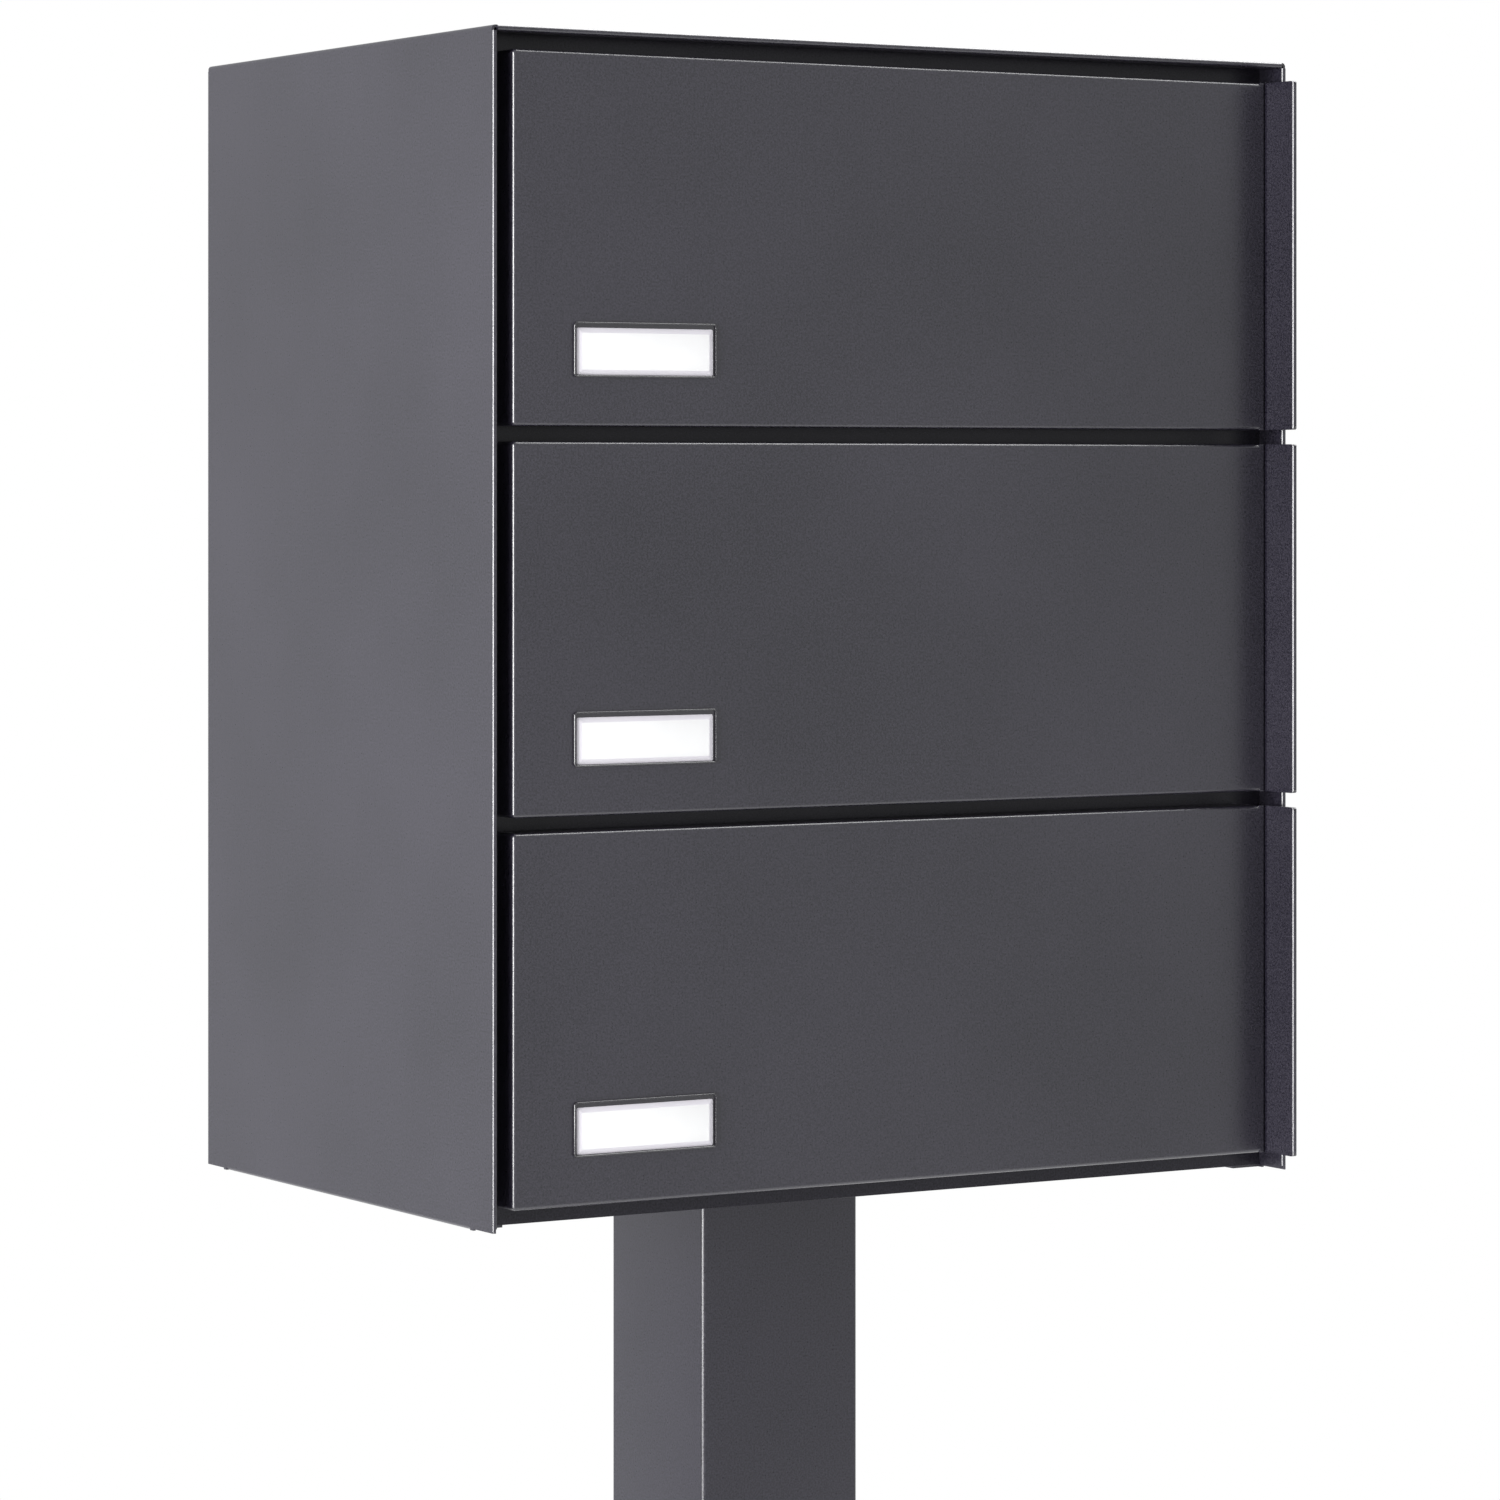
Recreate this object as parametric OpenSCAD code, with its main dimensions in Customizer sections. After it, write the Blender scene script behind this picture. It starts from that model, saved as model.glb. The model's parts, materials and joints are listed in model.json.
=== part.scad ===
// Cluster mailbox unit on a square post: three compartments one above the other. Each has a cover
// with a side grip in front of its mail slot, and a locking removal door behind.
// Millimetres, +Z up, the front faces -Y and +X is on the right seen from the front.
// The origin is on the floor under the centre of the post.

/* [Casing] */
// Outer width
casing_w = 400; // [340:1:600]
// Outer height
casing_h = 491.1; // [420:0.1:700]
// Outer depth
casing_d = 267; // [200:1:400]
// Height of the casing's lower edge above the floor
casing_bottom = 1110; // [500:1:1200]
// Thickness of every folded sheet
sheet_t = 1.1; // [0.8:0.1:1.3]
// Outer radius of a sheet's bend
bend_r = 1.6; // [1.4:0.1:2]
// Length of the folded hem behind each free edge
hem_l = 12; // [6:1:14]
// Width of the returns under the side walls, which carry the base pan
return_w = 15; // [12:1:25]
// How far the side walls' lower edge is raised, from the front and from the rear
raised_l = 16.9; // [14:0.1:17]
// How much it is raised there
edge_lift = 0.7; // [0.2:0.1:1]
// Depth of the frames behind the casing's front and rear edges
recess = 18.5; // [17.5:0.1:30]
// Height of the turned edges on the frames, the base pan and the shelves
turn_h = 12; // [8:1:14]

/* [Covers and doors] */
// Gap between the casing's outer side and a cover's edge
side_gap = 9.8; // [9:0.1:14]
// Gap between two covers, one above the other
row_gap = 6.35; // [4:0.05:12]
// Gap under the lowest cover
bottom_gap = 9; // [6:0.1:14]
// Gap above the highest cover
top_gap = 9.4; // [6:0.1:14]
// How far the faces stand behind the casing's edges
setback = 1; // [0.5:0.1:3]
// Depth of the covers' and doors' turned edges
pan_depth = 14.5; // [14:0.1:14.6]
// How far the side grip stands out of a cover
grip_out = 20.6; // [12:0.1:35]
// Radius of the grip's outer corners
grip_corner_r = 2; // [1:0.5:6]
// Gap between a cover's top or bottom edge and its grip
grip_relief = 3; // [2:0.5:6]

/* [Nameplates] */
// Width of the bezel
bezel_w = 68; // [50:1:90]
// Height of the bezel
bezel_h = 22.6; // [16:0.1:35]
// How far the bezel stands out of the cover
bezel_out = 1.2; // [0.6:0.1:2]
// Bezel's distance from the cover's left edge
bezel_left = 28; // [24:1:60]
// Bezel's distance from the cover's lower edge
bezel_low = 20.1; // [16:0.1:60]
// Visible border at the bezel's sides
bezel_side = 1.5; // [1.2:0.1:4]
// Visible border under the window
bezel_under = 0.9; // [0.9:0.1:3]
// Visible border above the window
bezel_over = 2.3; // [1:0.1:4]
// Wall of the tray behind the bezel
tray_wall = 0.6; // [0.4:0.1:0.8]
// Thickness of the clear window
window_t = 2.9; // [1:0.1:3]
// How far the window's face lies behind the bezel's
window_drop = 0.3; // [0.1:0.1:0.5]
// Thickness of the name card
card_t = 0.5; // [0.3:0.1:1]

/* [Hinges] */
// Pin's distance from the cover's or door's side edge
hinge_inset = 5.2; // [5.2:0.1:5.6]
// Pin's distance behind the cover's or door's face
hinge_depth = 10; // [9:0.1:10.2]
// Radius of the pins
pin_r = 2; // [1.5:0.1:2.1]
// Clearance round a pin in its bush
pin_clear = 0.06; // [0.03:0.01:0.1]
// Radius of a bush's neck
bush_r = 3.2; // [3:0.1:3.4]
// Radius of a bush's collar
collar_r = 4; // [3.8:0.1:4]
// Thickness of a bush's collar
collar_t = 1.5; // [1:0.1:3]
// Gap between a collar and its lug
collar_gap = 0.3; // [0.3:0.1:1]
// Thickness of a lug
lug_t = 2; // [1.5:0.1:3]
// Radius of a lug's eye
lug_eye_r = 3.6; // [3.2:0.1:3.7]
// Half of the width of a lug's arm
lug_half_w = 3; // [2.5:0.1:3.1]
// Length of a lug's arm beyond its pin
lug_reach = 12; // [10:0.5:16]
// Width of a lug's foot
foot_w = 14; // [12:0.5:20]
// Height of a lug's foot
foot_h = 14; // [12:0.5:24]
// Radius of the rivets
rivet_r = 1.6; // [1.2:0.1:2]
// Radius of the rivets' heads
rivet_head_r = 3; // [2.4:0.1:4]
// Height of the rivets' heads
rivet_head_h = 1; // [0.6:0.1:1.2]

/* [Mail slots] */
// Width of a mail slot
slot_w = 325; // [230:1:325]
// Height of a mail slot
slot_h = 35; // [30:0.5:60]
// Slot's distance below the cover's upper edge
slot_drop = 18; // [16:0.5:40]
// Radius of the rods that carry the slot flaps
rod_r = 2; // [1.5:0.1:2.5]
// Clearance round a rod in its flap
rod_clear = 0.08; // [0.04:0.01:0.1]
// Wall of a flap's curl round its rod
curl_wall = 1; // [0.8:0.1:1.5]
// Thickness of a slot flap
flap_t = 1; // [0.8:0.1:1.5]
// How far a flap laps over the edges of its slot
flap_lap = 3; // [2:0.5:6]
// Gap between a flap and the frame
flap_gap = 0.5; // [0.3:0.1:1]
// Height of a rod above its slot
rod_rise = 5; // [4:0.1:8]
// Thickness of the brackets that hold the rods
bracket_t = 2; // [1.5:0.5:3]
// Length of a bracket's foot
bracket_foot = 5; // [4:0.5:14]
// Height of a bracket
bracket_h = 9; // [7:0.5:9]

/* [Catches] */
// Width of a magnetic catch
magnet_w = 12; // [8:0.5:14]
// Height of a magnetic catch
magnet_h = 30; // [16:1:50]
// Gap between a catch or a buffer and the closed cover
catch_gap = 0.6; // [0.3:0.1:1]
// Distance of the catches' and buffers' middle from the grip
catch_inset = 18; // [16:0.5:19]
// Radius of a buffer
buffer_r = 4; // [3:0.5:5]
// Buffer's distance from the cover's upper and lower edges
buffer_end = 25; // [20:1:40]

/* [Removal doors and locks] */
// Lip of the rear frame inside a door's upper and lower edges
door_lip = 14; // [10:0.5:20]
// Rear frame's opening, from the door's hinge edge
opening_hinge = 28.2; // [27:0.1:40]
// Rear frame's opening, from the door's lock edge
opening_lock = 20.2; // [16:0.1:24]
// Lock's distance from the door's free edge
lock_inset = 32.2; // [31:0.1:36]
// Radius of a lock's barrel
barrel_r = 8; // [7:0.1:9]
// Radius of a barrel's outer flange
barrel_flange_r = 10; // [9.5:0.1:11.5]
// Thickness of a barrel's outer flange
barrel_flange_t = 1.5; // [1:0.1:2]
// Radius of a lock's plug
plug_r = 5.5; // [4.5:0.1:6]
// Clearance round a plug in its barrel
plug_clear = 0.06; // [0.03:0.01:0.1]
// How far a plug stands out of its barrel
plug_out = 0.3; // [0.1:0.1:1]
// Width across the corners of a lock nut
nut_across = 25.4; // [22:0.1:28]
// Thickness of a lock nut
nut_t = 4; // [3:0.1:6]
// Gap between a locked cam and the frame
cam_gap = 1; // [0.6:0.1:2]
// Gap between a cam and the end of its barrel
barrel_gap = 1.2; // [0.6:0.1:2]
// Thickness of a cam
cam_t = 2; // [1.5:0.1:3]
// Half of a cam's width
cam_half_w = 4.5; // [3.5:0.1:6]
// Length of a cam from the lock's axis
cam_l = 22; // [20:0.5:26]
// Radius of the plug's spigot in its cam
spigot_r = 3; // [2.5:0.1:3.4]
// Radius of a cam screw
screw_r = 1.5; // [1:0.1:2]
// Radius of a cam screw's head
screw_head_r = 4.2; // [3.4:0.1:5]
// Height of a cam screw's head
screw_head_h = 2.2; // [1.5:0.1:3]
// Width of the key slot
key_w = 1.2; // [1:0.1:2]
// Height of the key slot
key_h = 7; // [5:0.1:8]
// Depth of the key slot
key_deep = 12; // [4:0.5:14]

/* [Post] */
// Width of the square tube
post_w = 80; // [60:1:100]
// Wall of the tube
post_wall = 3; // [2:0.5:5]
// Outer corner radius of the tube
post_corner_r = 2; // [1:0.5:6]
// Width of the head plate
head_w = 140; // [140:1:160]
// Thickness of the head plate
head_t = 5; // [4:0.5:8]
// Distance between the head screws
head_pitch = 104; // [100:1:124]
// Radius of the head screws
head_screw_r = 4; // [3:0.5:5]
// Radius of the head screws' heads
head_screw_head_r = 7; // [6:0.5:9]
// Height of the head screws' heads
head_screw_head_h = 4.4; // [3:0.1:6]
// Width of the base plate
base_w = 200; // [180:1:300]
// Thickness of the base plate
base_t = 8; // [6:0.5:15]
// Corner radius of the base plate
base_corner_r = 8; // [3:0.5:15]
// Distance between the anchor holes
anchor_pitch = 150; // [140:1:160]
// Radius of the anchor holes
anchor_r = 5.5; // [4.5:0.5:8]

/* [Hidden] */
LEVELS = ["lower", "middle", "upper"];

FINE = 48; // sides of a drawn circle
COAT = "#4a4950";
DARK = "#26262a";
STEEL = "#b8bbc0";
NYLON = "#1c1c1e";
SKIM = 1; // how far a cutting shape runs past what it cuts

// The post stands under the middle of the frames and the space behind them.
post_y = (recess + casing_d) / 2;
cover_h = (casing_h - bottom_gap - top_gap - 2 * row_gap) / 3;
cover_w = casing_w - 2 * side_gap - sheet_t; // from a cover's left edge to its grip
door_w = casing_w - 2 * side_gap;
pan_back = setback + pan_depth;
bend_in = bend_r - sheet_t;
frame_back = recess + sheet_t;
slot_x = (casing_w - slot_w) / 2;
curl_r = rod_r + rod_clear + curl_wall;
rod_y = frame_back + flap_gap + curl_r;
window_w = bezel_w - 2 * bezel_side;
window_h = bezel_h - bezel_under - bezel_over;
tray_depth = window_t + card_t + window_drop + sheet_t - bezel_out;
cam_y = frame_back + cam_gap;
barrel_end = cam_y - barrel_gap;
lock_x = side_gap + door_w - lock_inset;
head_low = casing_bottom + sheet_t - head_t;
pan_top = 2 * sheet_t;

// Heights above the casing's lower edge, for level 0, 1 or 2 counted from below
function cover_z(i) = bottom_gap + i * (cover_h + row_gap);
function slot_z(i) = cover_z(i) + cover_h - slot_drop - slot_h;
function shelf_z(i) = cover_z(i) + cover_h + (row_gap - sheet_t) / 2;
function rod_z(i) = slot_z(i) + slot_h + rod_rise;

// Moves from the casing's front left lower corner to the post's foot.
module in_casing() {
    translate([-casing_w / 2, -post_y, casing_bottom]) children();
}

// The rear is laid out like the front, turned half round.
module from_behind() {
    translate([casing_w, casing_d, 0]) rotate([0, 0, 180]) children();
}

module rod_along_x(r, l) {
    rotate([0, 90, 0]) cylinder(r = r, h = l, $fn = FINE);
}

module rod_along_y(r, l) {
    rotate([-90, 0, 0]) cylinder(r = r, h = l, $fn = FINE);
}

// A rectangle about the origin with round corners.
module round_rect(w, h, r) {
    square([w - 2 * r, h], center = true);
    square([w, h - 2 * r], center = true);
    for (x = [-1, 1], y = [-1, 1]) {
        translate([x * (w / 2 - r), y * (h / 2 - r)]) circle(r = r, $fn = FINE);
    }
}

// A quarter of a sheet's bend about the origin, on the side that sx and sy point to.
module bend(sx, sy) {
    intersection() {
        difference() {
            circle(r = bend_r, $fn = FINE);
            circle(r = bend_in, $fn = FINE);
        }
        translate([(sx - 1) * bend_r / 2, (sy - 1) * bend_r / 2]) square(bend_r);
    }
}

// A casing wall in section: outer face on X = 0, with a closed hem on both ends.
module hemmed_wall() {
    translate([0, sheet_t]) square([sheet_t, casing_d - 2 * sheet_t]);
    for (y = [sheet_t, casing_d - sheet_t]) {
        translate([sheet_t, y]) circle(r = sheet_t, $fn = FINE);
    }
    translate([0, sheet_t]) square([2 * sheet_t, hem_l]);
    translate([0, casing_d - sheet_t - hem_l]) square([2 * sheet_t, hem_l]);
}

module rivet(l) {
    cylinder(r = rivet_r, h = l, $fn = FINE);
    translate([0, 0, -rivet_head_h]) cylinder(r = rivet_head_r, h = rivet_head_h, $fn = FINE);
}

// Places things at the base pan's rivets, pointing up from the returns' undersides.
module at_pan_rivets() {
    for (x = [return_w / 2 + 1, casing_w - return_w / 2 - 1], y = [0.2, 0.5, 0.8]) {
        translate([x, y * casing_d, 0]) children();
    }
}

// Places things at both hinge pins of one level: Z points from the cover's edge into the cover.
module at_hinge_pins(i) {
    translate([side_gap + hinge_inset, setback + hinge_depth, cover_z(i)]) {
        children();
        translate([0, 0, cover_h]) mirror([0, 0, 1]) children();
    }
}

// ---- Casing ----

module side_wall() {
    difference() {
        linear_extrude(casing_h) hemmed_wall();
        for (y = [-SKIM, casing_d - raised_l]) {
            translate([-SKIM, y, -SKIM]) {
                cube([2 * sheet_t + 2 * SKIM, raised_l + SKIM, edge_lift + SKIM]);
            }
        }
    }
    translate([0, frame_back, 0]) cube([return_w, casing_d - 2 * frame_back, sheet_t]);
}

module casing_envelope() {
    translate([casing_w / 2, casing_d, 0]) rotate([90, 0, 0]) linear_extrude(casing_d) {
        translate([0, (casing_h - bend_r) / 2]) square([casing_w, casing_h - bend_r], center = true);
        translate([0, casing_h - bend_r / 2]) square([casing_w - 2 * bend_r, bend_r], center = true);
        for (x = [-1, 1]) {
            translate([x * (casing_w / 2 - bend_r), casing_h - bend_r]) circle(r = bend_r, $fn = FINE);
        }
    }
}

module casing_shell() {
    color(COAT) in_casing() difference() {
        intersection() {
            union() {
                side_wall();
                translate([casing_w, 0, 0]) mirror([1, 0, 0]) side_wall();
                translate([0, 0, casing_h]) rotate([0, 90, 0]) linear_extrude(casing_w) hemmed_wall();
            }
            casing_envelope();
        }
        at_pan_rivets() translate([0, 0, -SKIM]) cylinder(r = rivet_r, h = sheet_t + 2 * SKIM, $fn = FINE);
    }
}

module base_pan() {
    color(COAT) in_casing() difference() {
        translate([sheet_t, frame_back, sheet_t]) {
            cube([casing_w - 2 * sheet_t, casing_d - 2 * frame_back, sheet_t]);
            for (y = [0, casing_d - 2 * frame_back - sheet_t]) {
                translate([0, y, 0]) cube([casing_w - 2 * sheet_t, sheet_t, sheet_t + turn_h]);
            }
        }
        at_pan_rivets() cylinder(r = rivet_r, h = pan_top + SKIM, $fn = FINE);
        translate([casing_w / 2, post_y, 0]) at_head_screws() {
            cylinder(r = head_screw_r, h = pan_top + SKIM, $fn = FINE);
        }
    }
}

// A frame's sheet, its top edge and its side edges, which are turned inwards.
module frame_sheet() {
    translate([sheet_t, recess, sheet_t]) cube([casing_w - 2 * sheet_t, sheet_t, casing_h - 2 * sheet_t]);
    translate([sheet_t, frame_back, casing_h - 2 * sheet_t]) {
        cube([casing_w - 2 * sheet_t, turn_h, sheet_t]);
    }
    for (x = [sheet_t, casing_w - 2 * sheet_t]) {
        translate([x, frame_back, pan_top + turn_h]) {
            cube([sheet_t, turn_h, casing_h - pan_top - turn_h - sheet_t]);
        }
    }
}

module hinge_rivet_holes() {
    for (i = [0:2]) {
        at_hinge_pins(i) at_foot_rivet() translate([0, -SKIM, 0]) {
            rod_along_y(rivet_r, lug_t + sheet_t + 2 * SKIM);
        }
    }
}

module front_frame() {
    color(COAT) in_casing() difference() {
        frame_sheet();
        for (i = [0:2]) {
            translate([slot_x, recess - SKIM, slot_z(i)]) cube([slot_w, sheet_t + 2 * SKIM, slot_h]);
        }
        hinge_rivet_holes();
    }
}

module rear_frame() {
    color(COAT) in_casing() from_behind() difference() {
        frame_sheet();
        for (i = [0:2]) {
            translate([side_gap + opening_hinge, recess - SKIM, cover_z(i) + door_lip]) {
                cube([door_w - opening_hinge - opening_lock, sheet_t + 2 * SKIM, cover_h - 2 * door_lip]);
            }
        }
        hinge_rivet_holes();
    }
}

// A compartment's floor, with its front and rear edges turned down against the frames.
module shelf(i) {
    color(COAT) in_casing() translate([2 * sheet_t, frame_back, shelf_z(i)]) {
        cube([casing_w - 4 * sheet_t, casing_d - 2 * frame_back, sheet_t]);
        for (y = [0, casing_d - 2 * frame_back - sheet_t]) {
            translate([0, y, sheet_t - turn_h]) cube([casing_w - 4 * sheet_t, sheet_t, turn_h]);
        }
    }
}

module pan_rivets() {
    color(STEEL) in_casing() at_pan_rivets() rivet(pan_top);
}

// ---- Post ----

module at_head_screws() {
    for (x = [-1, 1], y = [-1, 1]) {
        translate([x * head_pitch / 2, y * head_pitch / 2, 0]) children();
    }
}

module post_tube() {
    color(COAT) translate([0, 0, base_t]) linear_extrude(head_low - base_t) difference() {
        round_rect(post_w, post_w, post_corner_r);
        square(post_w - 2 * post_wall, center = true);
    }
}

module post_head_plate() {
    color(COAT) translate([0, 0, head_low]) difference() {
        linear_extrude(head_t) round_rect(head_w, head_w, post_corner_r);
        at_head_screws() translate([0, 0, -SKIM]) {
            cylinder(r = head_screw_r, h = head_t + 2 * SKIM, $fn = FINE);
        }
    }
}

module post_base_plate() {
    color(COAT) difference() {
        linear_extrude(base_t) round_rect(base_w, base_w, base_corner_r);
        for (x = [-1, 1], y = [-1, 1]) {
            translate([x * anchor_pitch / 2, y * anchor_pitch / 2, -SKIM]) {
                cylinder(r = anchor_r, h = base_t + 2 * SKIM, $fn = FINE);
            }
        }
    }
}

// Driven from inside the lowest compartment into the tapped head plate.
module head_screws() {
    color(STEEL) translate([0, 0, head_low]) at_head_screws() {
        cylinder(r = head_screw_r, h = head_t + sheet_t, $fn = FINE);
        translate([0, 0, head_t + sheet_t]) {
            cylinder(r = head_screw_head_r, h = head_screw_head_h, $fn = FINE);
        }
    }
}

// ---- Hinges ----
// All of these are drawn about a hinge pin, with Z = 0 on the outside of the cover's turned edge.

collar_top = sheet_t + collar_t;
lug_low = collar_top + collar_gap;
lug_high = lug_low + lug_t;
foot_y = recess - setback - hinge_depth; // from the pin to the frame

module lug() {
    difference() {
        translate([0, 0, lug_low]) linear_extrude(lug_t) {
            circle(r = lug_eye_r, $fn = FINE);
            translate([0, -lug_half_w]) square([lug_reach, 2 * lug_half_w]);
            translate([lug_reach - 2 * lug_half_w, 0]) square([2 * lug_half_w, foot_y]);
        }
        cylinder(r = pin_r, h = lug_high + SKIM, $fn = FINE);
    }
    difference() {
        translate([lug_reach - foot_w / 2, foot_y - lug_t, lug_low]) cube([foot_w, lug_t, foot_h]);
        at_foot_rivet() translate([0, -SKIM, 0]) rod_along_y(rivet_r, lug_t + 2 * SKIM);
    }
}

// The rivet starts on the foot's face and runs along Y through the foot and the frame.
module at_foot_rivet() {
    translate([lug_reach, foot_y - lug_t, lug_low + foot_h - rivet_head_r - SKIM]) children();
}

module hinge_pin() {
    translate([0, 0, sheet_t / 2]) cylinder(r = pin_r, h = lug_high - sheet_t / 2, $fn = FINE);
    translate([0, 0, lug_high]) cylinder(r = pin_r + 1, h = rivet_head_h, $fn = FINE);
}

module bush() {
    difference() {
        union() {
            cylinder(r = bush_r, h = collar_top, $fn = FINE);
            translate([0, 0, sheet_t]) cylinder(r = collar_r, h = collar_t, $fn = FINE);
        }
        translate([0, 0, -SKIM]) cylinder(r = pin_r + pin_clear, h = collar_top + 2 * SKIM, $fn = FINE);
    }
}

module bush_holes(i) {
    at_hinge_pins(i) translate([0, 0, -SKIM]) cylinder(r = bush_r, h = sheet_t + SKIM, $fn = FINE);
}

module cover_hinge_lugs() {
    color(STEEL) in_casing() for (i = [0:2]) at_hinge_pins(i) lug();
}

module cover_hinge_pins() {
    color(STEEL) in_casing() for (i = [0:2]) at_hinge_pins(i) hinge_pin();
}

module cover_bushes(i) {
    color(NYLON) in_casing() at_hinge_pins(i) bush();
}

module door_hinge_lugs() {
    color(STEEL) in_casing() from_behind() for (i = [0:2]) at_hinge_pins(i) lug();
}

module door_hinge_pins() {
    color(STEEL) in_casing() from_behind() for (i = [0:2]) at_hinge_pins(i) hinge_pin();
}

module door_bushes(i) {
    color(NYLON) in_casing() from_behind() at_hinge_pins(i) bush();
}

module foot_rivets() {
    for (i = [0:2]) at_hinge_pins(i) at_foot_rivet() rotate([-90, 0, 0]) rivet(lug_t + sheet_t);
}

module hinge_rivets() {
    color(STEEL) in_casing() {
        foot_rivets();
        from_behind() foot_rivets();
    }
}

// ---- Front covers ----

// The cover in plan: left edge, face, and the grip with its hem on the outer side.
module cover_profile() {
    grip_y = setback - grip_out;
    translate([0, setback + bend_r]) square([sheet_t, pan_depth - bend_r]);
    translate([bend_r, setback + bend_r]) bend(-1, -1);
    translate([bend_r, setback]) square([cover_w - bend_in - bend_r, sheet_t]);
    translate([cover_w - bend_in, setback - bend_in]) bend(1, 1);
    translate([cover_w, grip_y + sheet_t]) square([sheet_t, grip_out - sheet_t - bend_in]);
    translate([cover_w + sheet_t, grip_y + sheet_t]) circle(r = sheet_t, $fn = FINE);
    translate([cover_w, grip_y + sheet_t]) square([2 * sheet_t, hem_l]);
}

// The cover seen from the side, which rounds the grip's outer corners.
module cover_side() {
    grip_y = setback - grip_out;
    translate([grip_y, grip_corner_r]) square([pan_back - grip_y, cover_h - 2 * grip_corner_r]);
    translate([grip_y + grip_corner_r, 0]) square([pan_back - grip_y - grip_corner_r, cover_h]);
    for (z = [grip_corner_r, cover_h - grip_corner_r]) {
        translate([grip_y + grip_corner_r, z]) circle(r = grip_corner_r, $fn = FINE);
    }
}

module bezel_place(i) {
    translate([side_gap + bezel_left, setback, cover_z(i) + bezel_low]) children();
}

// The cut-out that the nameplate's tray fills.
module tray_block(deep) {
    translate([bezel_side - tray_wall, 0, bezel_under - tray_wall]) {
        cube([window_w + 2 * tray_wall, deep, window_h + 2 * tray_wall]);
    }
}

module turned_edges(l) {
    for (z = [0, cover_h - sheet_t]) {
        translate([sheet_t, setback + sheet_t, z]) cube([l, pan_depth - sheet_t, sheet_t]);
    }
}

module front_cover(i) {
    color(COAT) in_casing() difference() {
        translate([side_gap, 0, cover_z(i)]) {
            intersection() {
                linear_extrude(cover_h) cover_profile();
                translate([-SKIM, 0, 0]) rotate([90, 0, 90]) linear_extrude(casing_w) cover_side();
            }
            turned_edges(cover_w - sheet_t - grip_relief);
        }
        bezel_place(i) translate([0, -SKIM, 0]) tray_block(sheet_t + 2 * SKIM);
        bush_holes(i);
    }
}

module nameplate_bezel(i) {
    color(DARK) in_casing() bezel_place(i) difference() {
        union() {
            translate([0, -bezel_out, 0]) cube([bezel_w, bezel_out, bezel_h]);
            tray_block(tray_depth);
        }
        translate([bezel_side, -bezel_out - SKIM, bezel_under]) {
            cube([window_w, SKIM + window_drop + window_t + card_t, window_h]);
        }
    }
}

module card_window(i) {
    color([0.95, 0.95, 0.97, 0.5]) in_casing() bezel_place(i) {
        translate([bezel_side, window_drop - bezel_out, bezel_under]) cube([window_w, window_t, window_h]);
    }
}

module name_card(i) {
    color("#f7f7f7") in_casing() bezel_place(i) {
        translate([bezel_side, window_drop - bezel_out + window_t, bezel_under]) {
            cube([window_w, card_t, window_h]);
        }
    }
}

catch_front = setback + sheet_t + catch_gap;
catch_x = side_gap + cover_w - catch_inset;

module cover_magnets() {
    color(DARK) in_casing() for (i = [0:2]) {
        translate([catch_x - magnet_w / 2, catch_front, cover_z(i) + (cover_h - magnet_h) / 2]) {
            cube([magnet_w, recess - catch_front, magnet_h]);
        }
    }
}

module cover_buffers() {
    color(NYLON) in_casing() for (i = [0:2], z = [buffer_end, cover_h - buffer_end]) {
        translate([catch_x, catch_front, cover_z(i) + z]) rod_along_y(buffer_r, recess - catch_front);
    }
}

// ---- Slot flaps ----

// A flap hangs on its rod, behind the slot that it shuts.
module slot_flap(i) {
    flap_w = slot_w + 2 * flap_lap;
    color(COAT) in_casing() translate([slot_x - flap_lap, rod_y, rod_z(i)]) difference() {
        union() {
            rod_along_x(curl_r, flap_w);
            translate([0, -curl_r, -rod_rise - slot_h - flap_lap]) {
                cube([flap_w, flap_t, rod_rise + slot_h + flap_lap]);
            }
        }
        translate([-SKIM, 0, 0]) rod_along_x(rod_r + rod_clear, flap_w + 2 * SKIM);
    }
}

bracket_in = flap_lap + flap_gap; // from the slot's end to the bracket's inner face

module flap_rods() {
    color(STEEL) in_casing() for (i = [0:2]) {
        translate([slot_x - bracket_in - bracket_t, rod_y, rod_z(i)]) {
            rod_along_x(rod_r, slot_w + 2 * (bracket_in + bracket_t));
        }
    }
}

// One bracket, left of a slot: an ear round the rod's end and a foot on the frame.
module bracket() {
    difference() {
        translate([-bracket_t, frame_back - rod_y, -bracket_h / 2]) {
            cube([bracket_t, rod_y - frame_back + bracket_h / 2, bracket_h]);
        }
        translate([-bracket_t - SKIM, 0, 0]) rod_along_x(rod_r, bracket_t + 2 * SKIM);
    }
    translate([-bracket_foot, frame_back - rod_y, -bracket_h / 2]) {
        cube([bracket_foot - bracket_t, bracket_t, bracket_h]);
    }
}

module flap_brackets() {
    color(STEEL) in_casing() for (i = [0:2]) {
        translate([slot_x - bracket_in, rod_y, rod_z(i)]) bracket();
        translate([casing_w - slot_x + bracket_in, rod_y, rod_z(i)]) mirror([1, 0, 0]) bracket();
    }
}

// ---- Removal doors and locks ----

module door_profile() {
    translate([bend_r, setback]) square([door_w - 2 * bend_r, sheet_t]);
    for (x = [0, door_w - sheet_t]) {
        translate([x, setback + bend_r]) square([sheet_t, pan_depth - bend_r]);
    }
    translate([bend_r, setback + bend_r]) bend(-1, -1);
    translate([door_w - bend_r, setback + bend_r]) bend(1, -1);
}

module at_lock(i) {
    in_casing() from_behind() translate([lock_x, 0, cover_z(i) + cover_h / 2]) children();
}

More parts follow.
